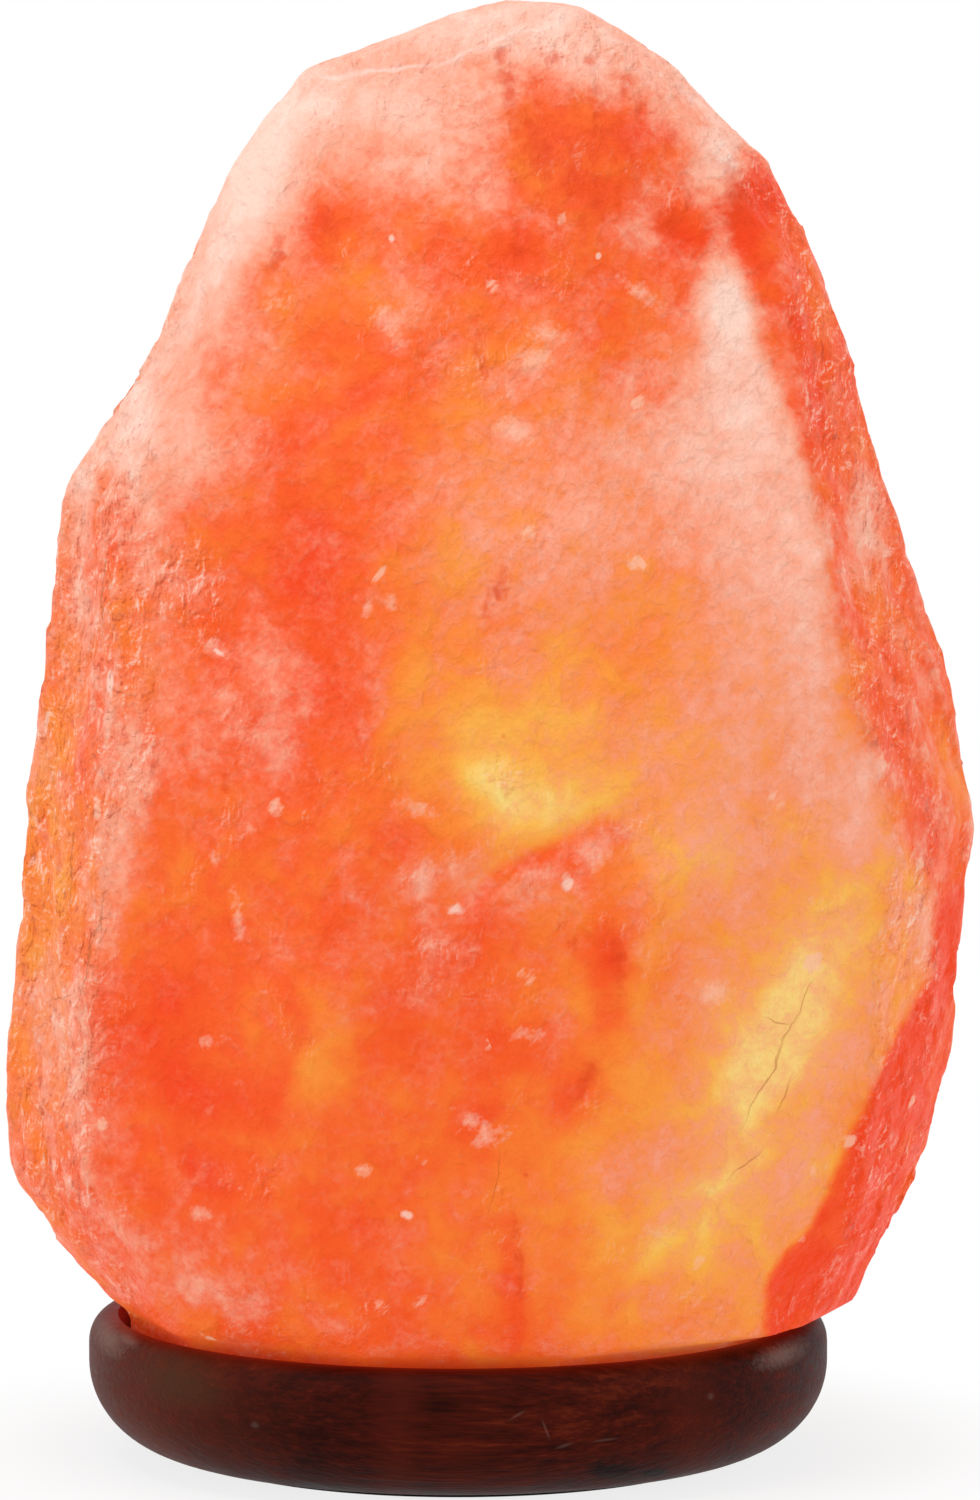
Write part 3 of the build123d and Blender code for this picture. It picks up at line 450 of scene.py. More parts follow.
# The bulb's glow ends at the first fold, and a red lump hangs below it
below_fold = np.interp(salt_x, *np.array(glow_fold).T) - salt_z
fold_span = front_side * ramp_up(salt_x, -0.002, 0.003) * (1 - ramp_up(salt_x, 0.0205, 0.0265))
warm -= 0.19 * fold_span * ramp_up(below_fold, -0.0004, 0.0012) * (1 - ramp_up(below_fold, 0.001, 0.014))
warm += 0.16 * fold_span * ramp_up(-below_fold, -0.0004, 0.0010) * (1 - ramp_up(-below_fold, 0.002, 0.010))

# The sides that the photograph doesn't show have glows and crusts of the same kinds, placed at random
luck = random.Random(salt_seed)
hidden_warm = np.zeros(len(salt_points))
hidden_pale = np.zeros(len(salt_points))
for _ in range(hidden_spots):
    turn = math.radians(luck.uniform(-20, 200))
    place = np.array([0.060 * math.cos(turn), 0.050 * math.sin(turn), luck.uniform(0.030, 0.185)])
    stretch = np.array([1, 1, luck.uniform(0.55, 0.9)]) / luck.uniform(0.008, 0.022)
    bump = np.exp(-np.sum(((salt_points - place) * stretch) ** 2, axis=1))
    if luck.random() < 0.45:
        low_down = 1.4 - place[2] / 0.14
        hidden_warm += bump * luck.uniform(0.2, 0.6) * low_down
    else:
        hidden_pale += bump * luck.uniform(0.25, 0.6)
hidden_share = behind * ramp_up(salt_y, -0.018, 0.030) + 0.3 * right_zone
warm += hidden_share * (0.05 + hidden_warm)
pale += hidden_share * hidden_pale

# Worn edges are frosted, and the right side is redder and mottled, most of all low down
pale += 0.22 * edge_share - 0.07 * right_zone + 0.03 * left_side
pale += 0.16 * right_zone * clouds(salt_points, 0.006, salt_seed + 8, 3) - 0.20 * low_right
warm += 0.12 * right_zone * clouds(salt_points, 0.011, salt_seed + 9, 2)
warm -= 0.04 * right_zone + 0.27 * low_right

# White flakes and rusty smears, where the photograph shows them: ovals again, without a strength
flake_rows = [
    (9.9, 152.8, 3.5, 1.7, -8), (12.4, 156.3, 2.8, 1.5, 10), (7.0, 149.3, 1.9, 0.6, 80),
    (-8.7, 157.3, 1.5, 3.2, -32), (7.7, 143.9, 2.6, 1.4, 20), (3.1, 53.2, 0.9, 3.4, -62),
    (-34.1, 39.8, 1.3, 1.0, 0), (-28.8, 80.2, 0.8, 3.2, -6), (-46.4, 107.5, 0.9, 2.6, 0),
    (-4.5, 86.3, 1.4, 3.2, 8), (-0.6, 88.3, 1.0, 2.2, -6), (-5.2, 95.1, 2.2, 1.1, 20),
    (-11.6, 121.6, 0.8, 1.5, 0), (-8.7, 122.2, 0.8, 1.2, 0), (-32.3, 115.0, 1.8, 1.1, 30),
    (-30.6, 108.8, 1.5, 0.8, 0), (-42.6, 102.8, 0.9, 0.9, 0), (-27.3, 91.7, 1.0, 0.8, 0),
    (-32.0, 87.6, 0.9, 1.2, 0), (17.8, 89.0, 2.1, 1.8, 0), (33.9, 70.0, 2.4, 1.7, 20),
    (8.7, 65.4, 2.2, 0.9, 0), (4.1, 51.6, 2.3, 1.2, -20), (26.8, 37.8, 1.8, 1.0, 0),
    (-24.0, 160.0, 1.0, 0.7, 0), (24.6, 161.2, 3.2, 1.0, 35), (-33.0, 63.0, 1.1, 0.8, 0),
    (-12.4, 47.0, 1.0, 0.7, 0),
]
rust_rows = [
    (12.9, 192.2, 1.1, 0.8, 0), (17.9, 192.0, 0.8, 0.7, 0), (22.2, 187.9, 0.8, 1.9, 20),
    (29.0, 181.7, 1.0, 1.5, 0), (7.0, 187.5, 0.9, 4.0, -6), (11.0, 180.5, 1.8, 5.0, -20),
    (15.5, 178.5, 1.5, 4.5, 4), (18.6, 184.0, 0.7, 5.0, 3), (-22.6, 189.0, 1.1, 0.8, 0),
    (3.0, 154.0, 0.7, 2.6, -12), (-24.0, 166.0, 1.0, 2.0, 0), (6.1, 192.4, 1.0, 1.3, 0),
    (37.8, 173.0, 1.8, 3.6, -8), (28.6, 170.4, 1.6, 1.6, 0), (8.3, 167.4, 1.1, 1.2, 0),
    (-17.2, 170.0, 1.1, 1.6, 0), (21.3, 74.9, 0.8, 2.6, -6), (17.2, 59.5, 0.8, 2.8, 28),
    (8.2, 34.2, 0.45, 5.0, -3), (-30.6, 97.9, 0.6, 1.3, 0), (-29.0, 112.6, 0.6, 0.5, 0),
    (15.5, 77.2, 0.6, 0.6, 0), (13.4, 79.9, 0.5, 0.9, 20), (57.2, 79.1, 0.4, 0.4, 0),
    (54.2, 44.3, 0.5, 0.5, 0), (-15.9, 99.7, 0.35, 0.35, 0), (5.4, 123.4, 0.9, 2.4, 30),
]
# Where the skin is pitted and creased, each oval with its strength
rough_front = [
    (-29, 142, 7, 5, 0, 0.6), (-44, 121, 5, 16, 0, 0.9), (-54, 95, 6, 35, 0, 0.7),
    (60, 100, 7, 32, -6, 0.20), (58, 52, 8, 22, 20, 0.10), (-35, 123, 5, 6, 0, 0.9),
    (-44, 98, 5, 7, 0, 0.8), (-28, 106, 4, 5, 0, 0.4), (-49, 80, 4, 26, 0, 0.7),
    (-52, 48, 5, 12, 0, 0.5), (55, 142, 5, 20, -20, 0.5), (20, 92, 10, 5, 20, 0.35),
    (5, 157, 18, 9, 0, 0.3), (-18, 62, 5, 6, 0, 0.3), (0, 80, 12, 6, 0, 0.25),
]
rough = 0.75 * left_side + 0.45 * right_side + 0.5 * behind + 0.40 * high_up
rough += front_side * soft_spots(salt_points, rough_front)
fields = {"warm": warm, "pale": pale, "side": rough_side, "rough": rough,
          "flake": nearest_oval(salt_points, flake_rows), "rust": nearest_oval(salt_points, rust_rows)}
for name, values in fields.items():
    field = crystal.data.attributes.new(name, "FLOAT", "POINT")
    field.data.foreach_set("value", values.astype(np.float32))


def new_finish(name):
    """A material with one Principled shader, its tree, the shader and the object's own coordinates."""
    finish = bpy.data.materials.new(name)
    finish.use_nodes = True
    tree = finish.node_tree
    tree.nodes.clear()
    shader = add_node(tree, "ShaderNodeBsdfPrincipled")
    add_node(tree, "ShaderNodeOutputMaterial", {"Surface": shader.outputs[0]})
    place = add_node(tree, "ShaderNodeTexCoord").outputs["Object"]
    return finish, tree, shader, place


def math_of(tree, way, first, second):
    return add_node(tree, "ShaderNodeMath", {0: first, 1: second}, operation=way).outputs[0]


def times(tree, first, second):
    return math_of(tree, "MULTIPLY", first, second)


def grain(tree, place, scale, detail=4.0, rough=0.55, length=(1, 1, 1), turn=0.0, warp=0.0):
    """Soft noise from 0 to 1. Scale is in bumps to the metre. Length draws the bumps out along an
    axis, after a turn about the front axis in degrees."""
    moved = add_node(tree, "ShaderNodeMapping",
                     {"Vector": place, "Rotation": (0, math.radians(turn), 0), "Scale": length},
                     vector_type="TEXTURE")
    made = add_node(tree, "ShaderNodeTexNoise",
                    {"Vector": moved.outputs[0], "Scale": scale, "Detail": detail, "Roughness": rough,
                     "Distortion": warp})
    return made.outputs["Fac"]


def sum_of(tree, *parts):
    """The sum of sockets, each with its factor and with what is taken off it first."""
    total = None
    for socket, factor, off in parts:
        part = times(tree, math_of(tree, "SUBTRACT", socket, off), factor)
        total = part if total is None else math_of(tree, "ADD", total, part)
    return total


def spread(tree, value, low, high, new_low=0.0, new_high=1.0, way="LINEAR"):
    """The value carried from one span to another, and held at its ends."""
    spans = {"Value": value, "From Min": low, "From Max": high, "To Min": new_low, "To Max": new_high}
    return add_node(tree, "ShaderNodeMapRange", spans, interpolation_type=way, clamp=True).outputs[0]


def seen_colour(*levels):
    """The colour of light that a screen shows as these levels from 0 to 255."""
    shares = [level / 255 for level in levels]
    return (*[s / 12.92 if s <= 0.04045 else ((s + 0.055) / 1.055) ** 2.4 for s in shares], 1)


def shades(tree, value, *stops):
    """A colour for each value, by stops of a place and the red, green and blue of a screen."""
    ramp = add_node(tree, "ShaderNodeValToRGB", {"Fac": value})
    row = ramp.color_ramp.elements
    while len(row) < len(stops):
        row.new(0.5)
    for element, stop in zip(row, stops):
        element.position = stop[0]
    for element, stop in zip(row, stops):
        element.color = seen_colour(*stop[1:])
    return ramp.outputs["Color"]


def blend_colours(tree, share, first, second, way="MIX"):
    """Two colours blended. The node's colours are its inputs 6 and 7 and its output 2."""
    made = add_node(tree, "ShaderNodeMix", {0: share, 6: first, 7: second}, data_type="RGBA", blend_type=way)
    return made.outputs[2]


def laid_over(tree, colour, share, levels):
    """A colour with another one over it, which is given by its levels on a screen."""
    return blend_colours(tree, share, colour, seen_colour(*levels))


def dimmed(tree, colour, share):
    """A colour at a share of its strength."""
    grey = add_node(tree, "ShaderNodeCombineColor", {0: share, 1: share, 2: share}).outputs[0]
    return blend_colours(tree, 1.0, colour, grey, "MULTIPLY")


def bumps(tree, height, depth, strength=1.0, below=None):
    """A bumped normal, over another one if there is one below. Depth is how far, in metres, a
    height of 1 stands out."""
    inputs = {"Height": height, "Distance": depth, "Strength": strength}
    if below is not None:
        inputs["Normal"] = below
    return add_node(tree, "ShaderNodeBump", inputs).outputs[0]


def place_along(tree, place, axis):
    return add_node(tree, "ShaderNodeSeparateXYZ", {0: place}).outputs[axis]


def ovals(tree, place, rows, ragged, rag=0.7, edge=0.35):
    """1 inside any of some ovals on the front, and 0 outside. A row holds the place across and up,
    two half sizes in millimetres, and a lean to the right. Ragged noise frays the edges."""
    nearest = None
    for x, z, half_width, half_height, lean in rows:
        moved = add_node(tree, "ShaderNodeMapping",
                         {"Vector": place, "Location": (x * mm, 0, z * mm),
                          "Rotation": (0, math.radians(lean), 0),
                          "Scale": (half_width * mm, 1, half_height * mm)}, vector_type="TEXTURE")
        away = length_of(tree, moved.outputs[0])
        nearest = away if nearest is None else math_of(tree, "MINIMUM", nearest, away)
    frayed = sum_of(tree, (nearest, 1.0, 0.0), (ragged, rag, 0.5))
    inside = spread(tree, frayed, 1 - edge, 1 + edge, 1.0, 0.0)
    return times(tree, inside, spread(tree, place_along(tree, place, "Y"), -0.008, 0.0, 1.0, 0.0))


# The salt's painted glow goes from red to yellow in soft clouds, and a thin frost lies over it
salt, salt_tree, salt_shader, salt_place = new_finish("glowing_rock_salt")
warm_field, pale_field, side_field, rough_field, flake_field, rust_field = [
    add_node(salt_tree, "ShaderNodeAttribute", attribute_name=name).outputs["Fac"] for name in fields]
big_clouds = grain(salt_tree, salt_place, 65, 2, 0.5, warp=0.6)
mid_clouds = grain(salt_tree, salt_place, 190, 3, 0.5, length=(1, 1.8, 1), warp=0.4)
small_clouds = grain(salt_tree, salt_place, 620, 3, 0.5, length=(1, 2.4, 1), warp=0.5)
strokes = grain(salt_tree, salt_place, 520, 4, 0.62, length=(1, 2.4, 3.2), turn=42, warp=0.3)
crumbs = grain(salt_tree, salt_place, 1500, 3, 0.6)
warmth = sum_of(salt_tree, (warm_field, 1.0, 0.0), (big_clouds, 0.60, 0.5), (mid_clouds, 0.40, 0.5),
                (small_clouds, 0.08, 0.5), (strokes, 0.05, 0.5))
paleness = sum_of(salt_tree, (pale_field, 1.0, 0.0), (mid_clouds, -0.60, 0.5), (strokes, 0.26, 0.5),
                  (small_clouds, 0.32, 0.5), (crumbs, 0.24, 0.5))
frost = spread(salt_tree, paleness, 0.0, 0.55, way="SMOOTHSTEP")
frost_colour = shades(salt_tree, paleness, (0.0, 250, 118, 84), (0.5, 251, 164, 134), (1.0, 253, 210, 192))
glow_colour = shades(
    salt_tree, spread(salt_tree, warmth, 0.0, 1.0),
    (0.00, 246, 68, 22), (0.20, 250, 94, 34), (0.40, 252, 128, 46), (0.60, 253, 157, 60),
    (0.80, 253, 186, 78), (1.00, 252, 216, 124),
)
salt_colour = blend_colours(salt_tree, frost, glow_colour, frost_colour)

# White flakes, and beads of clear salt with a painted highlight
bead_rows = [
    (0.2, 81.8, 1.1, 0.8, 0), (-6.6, 41.0, 0.7, 0.5, 20), (14.6, 85.2, 0.7, 0.9, 0),
    (18.8, 166.4, 0.35, 0.4, 0), (-8.7, 168.7, 0.4, 0.5, 0), (-46.3, 109.0, 0.45, 1.4, 0),
    (-31.6, 114.4, 0.7, 0.3, 30),
]
flakes_here = spread(salt_tree, sum_of(salt_tree, (flake_field, 1.0, 0.0), (strokes, 3.0, 0.5),
                                       (crumbs, 2.0, 0.5)), 0.0, 1.2, 0.6, 0.0)
salt_colour = laid_over(salt_tree, salt_colour, flakes_here, (253, 196, 170))
bead_highlights = times(salt_tree, ovals(salt_tree, salt_place, bead_rows, strokes, 3.0), 0.6)
salt_colour = laid_over(salt_tree, salt_colour, bead_highlights, (254, 226, 208))

# Chips of the same kind scattered all over, in one cell of sixteen
chip_cells = add_node(salt_tree, "ShaderNodeTexVoronoi",
                      {"Vector": salt_place, "Scale": 210, "Randomness": 1.0})
chip_pick = add_node(salt_tree, "ShaderNodeSeparateColor", {0: chip_cells.outputs["Color"]})
chip_shape = spread(salt_tree, sum_of(salt_tree, (chip_cells.outputs["Distance"], 1.0, 0.0),
                                      (strokes, 1.3, 0.5)), 0.12, 0.26, 0.7, 0.0)
chips = times(salt_tree, spread(salt_tree, chip_pick.outputs[0], 0.93, 0.95), chip_shape)
salt_colour = laid_over(salt_tree, salt_colour, chips, (253, 190, 160))

# Rust in the salt: smears, specks and the darker cores of the red patches
rust_here = spread(salt_tree, sum_of(salt_tree, (rust_field, 1.0, 0.0), (small_clouds, 3.0, 0.5)),
                   0.2, 1.6, 0.6, 0.0)
speck_cells = add_node(salt_tree, "ShaderNodeTexVoronoi", {"Vector": salt_place, "Scale": 330})
speck_pick = add_node(salt_tree, "ShaderNodeSeparateColor", {0: speck_cells.outputs["Color"]})
specks = times(salt_tree, spread(salt_tree, speck_pick.outputs[1], 0.955, 0.97),
               spread(salt_tree, speck_cells.outputs["Distance"], 0.05, 0.16, 0.5, 0.0))
upright = grain(salt_tree, salt_place, 420, 4, 0.65, length=(1, 1, 5), turn=-4)
brown_top = times(salt_tree, spread(salt_tree, upright, 0.42, 0.66, 0.15, 0.85),
                  ovals(salt_tree, salt_place, [(17, 180, 13, 10, -12)], small_clouds, 2.4, 0.6))
rust = math_of(salt_tree, "MAXIMUM", math_of(salt_tree, "MAXIMUM", rust_here, specks),
               times(salt_tree, brown_top, 0.6))
salt_colour = laid_over(salt_tree, salt_colour, rust, (224, 66, 18))

# Pits and creases in patches, most of them on the split sides. Their upper edges carry a painted
# highlight, and their lower edges a painted shade.
pit_patches = grain(salt_tree, salt_place, 95, 3, 0.6)
pitted = spread(salt_tree, sum_of(salt_tree, (rough_field, 1.0, 0.0), (pit_patches, 2.6, 0.5)), 0.15, 0.95)
above_place = add_node(salt_tree, "ShaderNodeVectorMath",
                       {0: salt_place, 1: (-pit_step, 0.0, pit_step)}, operation="ADD").outputs[0]
pits, pits_above = [grain(salt_tree, place, 340, 5, 0.62, length=(1, 2.6, 1.35), warp=0.3)
                    for place in (salt_place, above_place)]
pit_slope = math_of(salt_tree, "SUBTRACT", pits, pits_above)
pit_light = times(salt_tree, spread(salt_tree, pit_slope, 0.02, 0.09, 0.0, 0.60), pitted)
pit_shade = times(salt_tree, spread(salt_tree, pit_slope, -0.09, -0.02, 0.58, 0.0), pitted)
salt_colour = laid_over(salt_tree, salt_colour, pit_light, (255, 216, 194))
salt_colour = laid_over(salt_tree, salt_colour, pit_shade, (180, 58, 26))

# Hairline cracks over the slanting glow on the right and down the left side, and white veins along
# the top, where a layer ends. Both are drawn as thin ovals in a place that soft noise bends.
crack_rows = [
    (46.0, 68.2, 0.11, 2.7, 24), (44.0, 64.1, 0.12, 2.1, 32), (40.7, 57.3, 0.11, 5.6, 25),
    (43.6, 55.7, 0.10, 2.5, 22), (42.6, 65.8, 0.10, 1.5, 108), (38.6, 46.7, 0.12, 2.8, 51),
    (42.4, 60.6, 0.09, 3.6, 27), (-48.6, 74.4, 0.14, 6.9, 16), (-53.6, 66.0, 0.13, 2.9, 56),
    (-52.0, 84.0, 0.11, 5.0, 4), (-47.5, 120.0, 0.12, 6.0, 5), (5.0, 45.0, 0.08, 4.0, 12),
]
vein_rows = [
    (-19.8, 189.6, 0.30, 5.2, 86), (-9.0, 190.8, 0.28, 5.6, 83), (0.2, 192.4, 0.28, 3.6, 70),
    (6.0, 194.6, 0.30, 3.4, 62), (11.2, 196.3, 0.25, 3.0, 75), (17.0, 197.4, 0.25, 3.2, 82),
    (-23.0, 185.0, 0.22, 3.4, 30),
]
crack_bend = add_node(salt_tree, "ShaderNodeVectorMath", {
    0: add_node(salt_tree, "ShaderNodeTexNoise", {"Vector": salt_place, "Scale": 260.0}).outputs["Color"],
    1: (0.5, 0.5, 0.5)}, operation="SUBTRACT").outputs[0]
crack_place = add_node(salt_tree, "ShaderNodeVectorMath", {
    0: crack_bend, 1: (0.0022, 0.0022, 0.0022), 2: salt_place}, operation="MULTIPLY_ADD").outputs[0]
cracks = times(salt_tree, ovals(salt_tree, crack_place, crack_rows, crumbs, 0.9, 0.45), 0.5)
salt_colour = laid_over(salt_tree, salt_colour, cracks, (168, 84, 24))
veins = times(salt_tree, ovals(salt_tree, crack_place, vein_rows, crumbs, 0.9, 0.5), 0.4)
salt_colour = laid_over(salt_tree, salt_colour, veins, (255, 240, 232))

# The foot is in the rim's shade, and dark red
foot = spread(salt_tree, place_along(salt_tree, salt_place, "Z"), 0.0180, 0.0212, 0.85, 0.0, "SMOOTHSTEP")
salt_colour = laid_over(salt_tree, salt_colour, foot, (176, 34, 10))

# The room lights the skin, and the bulb's light in the salt below it is painted as the salt's glow
skin_colour = dimmed(salt_tree, salt_colour, spread(salt_tree, paleness, 0.0, 1.0, 0.48, 0.72))
lit_colour = dimmed(salt_tree, salt_colour, spread(salt_tree, paleness, 0.0, 1.0, 0.60, 0.43))
salt_roughness = spread(salt_tree, mid_clouds, 0.3, 0.7, 0.40, 0.62)

# The feel of the skin: pebbles, most of all on the split sides, then pits and finer grain
deep_place = add_node(salt_tree, "ShaderNodeMapping", {"Vector": salt_place, "Scale": (1, 2.6, 1.2)},
                      vector_type="TEXTURE").outputs[0]
pebbles = add_node(salt_tree, "ShaderNodeTexVoronoi",
                   {"Vector": deep_place, "Scale": 400, "Randomness": 1.0}, feature="SMOOTH_F1")
side_lumps = times(salt_tree, side_field, pebbles.outputs["Distance"])
salt_height = sum_of(salt_tree, (mid_clouds, 1.8, 0.5), (pebbles.outputs["Distance"], 0.5, 0.5),
                     (side_lumps, 1.3, 0.0), (small_clouds, 0.9, 0.5), (strokes, 0.5, 0.5),
                     (crumbs, 0.26, 0.5), (times(salt_tree, pits, pitted), 1.1, 0.0))
feed(salt_tree, salt_shader, {
    "Base Color": skin_colour, "Emission Color": lit_colour, "Emission Strength": 1.0,
    "Specular IOR Level": 0.14, "Roughness": salt_roughness, "Normal": bumps(salt_tree, salt_height, 0.001)})

# So wide and weak a glow isn't sampled as a lamp
salt.cycles.emission_sampling = "NONE"
crystal.data.materials.append(salt)
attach(crystal, "lamp")
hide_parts("salt_crystal")


# The wooden base. A disc of hardwood turned on a lathe, with a round side and a seat for the
# crystal, stained dark brown and rubbed with satin lacquer. Light from the crystal reddens its rim.
wood_shades = [(0.00, 26, 3, 1), (0.30, 50, 11, 5), (0.55, 76, 21, 9),
               (0.80, 106, 37, 18), (1.00, 138, 62, 33)]
red_streaks = [(31.5, 9.5, 15, 3.0, 84), (-8, 8.0, 18, 2.4, 92)]
olive_streak = [(-37.5, 15.5, 4.5, 2.6, 0)]
knot_rows = [(20.5, 4.8, 3.4, 1.2, 8), (26.5, 3.6, 1.8, 0.8, 0)]
scratch_rows = [
    (8.0, 13.6, 0.16, 1.0, 60), (11.8, 11.6, 0.14, 1.2, -20), (14.4, 9.2, 0.20, 1.0, 74),
    (19.8, 9.6, 0.14, 1.4, 86), (-27.0, 11.0, 0.5, 0.4, 0), (34.0, 14.0, 0.4, 0.4, 0),
]
scuff_and_highlight_rows = [(-47.6, 18.2, 1.8, 1.5, 0), (-45.0, 18.9, 1.2, 0.6, 0), (43.8, 17.4, 2.6, 1.1, 0)]

wood, wood_tree, wood_shader, wood_place = new_finish("stained_turned_wood")
long_grain = grain(wood_tree, wood_place, 900, 6, 0.66, length=(11, 1.6, 1), turn=1.5, warp=0.25)
wide_grain = grain(wood_tree, wood_place, 75, 4, 0.5, length=(3.5, 1.5, 1), turn=-2, warp=0.8)
wood_pores = grain(wood_tree, wood_place, 2200, 3, 0.6, length=(14, 1, 1), turn=1)
wood_tone = sum_of(wood_tree, (long_grain, 1.0, 0.1), (wide_grain, 0.9, 0.5), (wood_pores, 0.6, 0.5))
wood_colour = shades(wood_tree, spread(wood_tree, wood_tone, 0.0, 0.95), *wood_shades)

# The stain is redder in two streaks and olive in one spot near the left rim. The left third is
# lighter, a painted light.
red_here = times(wood_tree, ovals(wood_tree, wood_place, red_streaks, wide_grain, 3.0, 0.8), 0.55)
wood_colour = laid_over(wood_tree, wood_colour, red_here, (88, 28, 14))
left_painted_light = spread(wood_tree, place_along(wood_tree, wood_place, "X"),
                    -0.044, -0.016, 0.34, 0.0, "SMOOTHSTEP")
wood_colour = laid_over(wood_tree, wood_colour, left_painted_light, (124, 54, 34))
olive_here = times(wood_tree, ovals(wood_tree, wood_place, olive_streak, wide_grain, 2.0, 0.8), 0.5)
wood_colour = laid_over(wood_tree, wood_colour, olive_here, (78, 56, 34))

# A dark knot at the lower edge, pale scratches above it, and pale patches on the rim that are
# partly scuffs and partly painted highlights
knot = times(wood_tree, ovals(wood_tree, wood_place, knot_rows, wood_pores, 1.2), 0.8)
wood_colour = laid_over(wood_tree, wood_colour, knot, (12, 5, 4))
scratches = ovals(wood_tree, wood_place, scratch_rows, wood_pores, 1.4, 0.5)
scuffs_and_highlights = ovals(wood_tree, wood_place, scuff_and_highlight_rows, wood_pores, 2.2, 0.7)
wear_and_highlights = math_of(wood_tree, "MAXIMUM", times(wood_tree, scratches, 0.16), times(wood_tree, scuffs_and_highlights, 0.5))
wood_colour = laid_over(wood_tree, wood_colour, wear_and_highlights, (150, 128, 118))

# The rim's inner lip, where the crystal's light falls: painted shade darkens the wood there, and
# a painted red glow lights it
wood_axes = add_node(wood_tree, "ShaderNodeSeparateXYZ", {0: wood_place})
flat_place = add_node(wood_tree, "ShaderNodeCombineXYZ",
                      {"X": wood_axes.outputs["X"], "Y": wood_axes.outputs["Y"]}).outputs[0]
from_axis = length_of(wood_tree, flat_place)
rim_glow_and_shade = times(wood_tree, spread(wood_tree, from_axis, 0.0505, 0.0455, way="SMOOTHSTEP"),
                 spread(wood_tree, wood_axes.outputs["Z"], 0.0155, 0.0190, way="SMOOTHSTEP"))
wood_colour = laid_over(wood_tree, wood_colour, times(wood_tree, rim_glow_and_shade, 0.8), (52, 5, 2))
painted_rim_glow = dimmed(wood_tree, seen_colour(120, 10, 3), rim_glow_and_shade)
wood_roughness = spread(wood_tree, long_grain, 0.2, 0.8, 0.36, 0.58)
wood_bump = bumps(wood_tree, wood_pores, 0.00014, 0.7, bumps(wood_tree, long_grain, 0.00030, 0.7))
feed(wood_tree, wood_shader, {
    "Base Color": wood_colour, "Emission Color": painted_rim_glow, "Emission Strength": 0.75,
    "Roughness": wood_roughness, "Specular IOR Level": 0.045, "Normal": wood_bump})
wood.cycles.emission_sampling = "NONE"


def finish_nodes(material, *nodes):
    """Gives solids their finish in place of the plain one that they were packed with."""
    for name in nodes:
        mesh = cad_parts[name].data
        mesh.materials.clear()
        mesh.materials.append(material)


finish_nodes(wood, "wooden_base")


# The felt ring. Pressed black wool felt, 0.8 mm thick, cut as a ring and glued under the foot so that
# the lamp doesn't scratch the table. It is open at the back, where a cord would leave.
felt, felt_tree, felt_shader, felt_place = new_finish("pressed_felt")
felt_tufts = grain(felt_tree, felt_place, 1400, 6, 0.7, warp=1.5)
felt_wear = grain(felt_tree, felt_place, 160, 3, 0.5)
felt_tone = sum_of(felt_tree, (felt_tufts, 1.0, 0.0), (felt_wear, 0.5, 0.5))
felt_colour = shades(felt_tree, felt_tone, (0.2, 10, 9, 9), (0.5, 24, 22, 22), (0.85, 48, 45, 44))
feed(felt_tree, felt_shader, {
    "Base Color": felt_colour, "Roughness": 0.96, "Specular IOR Level": 0.15, "Sheen Weight": 0.25,
    "Normal": bumps(felt_tree, felt_tufts, 0.0006)})
finish_nodes(felt, "felt_pad")


# The plate that stops the light unit, its threaded tube, nut and washer, the three base screws and
# the two terminal screws. Pressed or cut steel with bright zinc plate, faintly clouded by handling.
zinc_dark, zinc_light = (150, 150, 154), (222, 222, 226)


def metal(name, dark, light, scale, length, rough, relief):
    """A bare metal: two shades, drawn marks of this scale and length, and a span of roughness."""
    finish, tree, shader, place = new_finish(name)
    marks = grain(tree, place, scale, 4, 0.6, length=length)
    stains = grain(tree, place, 210, 4, 0.6, warp=0.6)
    tone = sum_of(tree, (marks, 0.8, 0.0), (stains, 0.9, 0.4))
    colour = shades(tree, tone, (0.15, *dark), (0.85, *light))
    roughness = spread(tree, sum_of(tree, (marks, 0.5, 0.0), (stains, 0.5, 0.0)), 0.3, 0.7, *rough)
    feed(tree, shader, {"Base Color": colour, "Metallic": 1.0, "Roughness": roughness,
                        "Normal": bumps(tree, marks, relief, 0.6)})
    return finish


zinc = metal("zinc_plated_steel", zinc_dark, zinc_light, 900, (1, 1, 1), (0.24, 0.46), 0.00006)
finish_nodes(zinc, "stop_plate", "nipple", "lock_nut", "star_washer", "base_screws", "terminal_screws")


# The spring clip. One strip of blued spring steel, cut to a hub with three legs and bent outwards,
# with the marks of rolling along it. The legs grip the bore of the base.
blued_dark, blued_light = (62, 68, 84), (142, 146, 158)
spring = metal("blued_spring_steel", blued_dark, blued_light, 1300, (1, 1, 6), (0.26, 0.44), 0.00005)
finish_nodes(spring, "spring_clip")


# The liner and the two contact strips of the holder. Thin rolled brass, a little browned by heat.
brass_dark, brass_light = (150, 104, 44), (226, 182, 96)
brass = metal("rolled_brass", brass_dark, brass_light, 1100, (4, 1, 1), (0.22, 0.42), 0.00004)
finish_nodes(brass, "screw_shell", "centre_contact", "side_contact")


# The bulb's cap, rolled from thin aluminium with its thread, and the wires inside the glass, drawn
# from nickel steel. Fine marks run round the cap and along the wires.
cap_dark, cap_light = (158, 158, 156), (226, 226, 222)
wire_dark, wire_light = (128, 124, 118), (204, 200, 192)
rolled = metal("rolled_aluminium", cap_dark, cap_light, 800, (1, 1, 0.3), (0.26, 0.48), 0.00005)
drawn = metal("drawn_nickel_wire", wire_dark, wire_light, 2600, (1, 1, 5), (0.20, 0.36), 0.00002)
finish_nodes(rolled, "bulb_cap")
finish_nodes(drawn, "lead_wires", "support_wires")


# The tip contact. A drop of dull solder on the black glass button, wrinkled where it cooled.
solder_dark, solder_light = (104, 104, 106), (176, 176, 178)
solder = metal("cooled_solder", solder_dark, solder_light, 1500, (1, 1, 1), (0.42, 0.66), 0.00030)
finish_nodes(solder, "tip_contact")


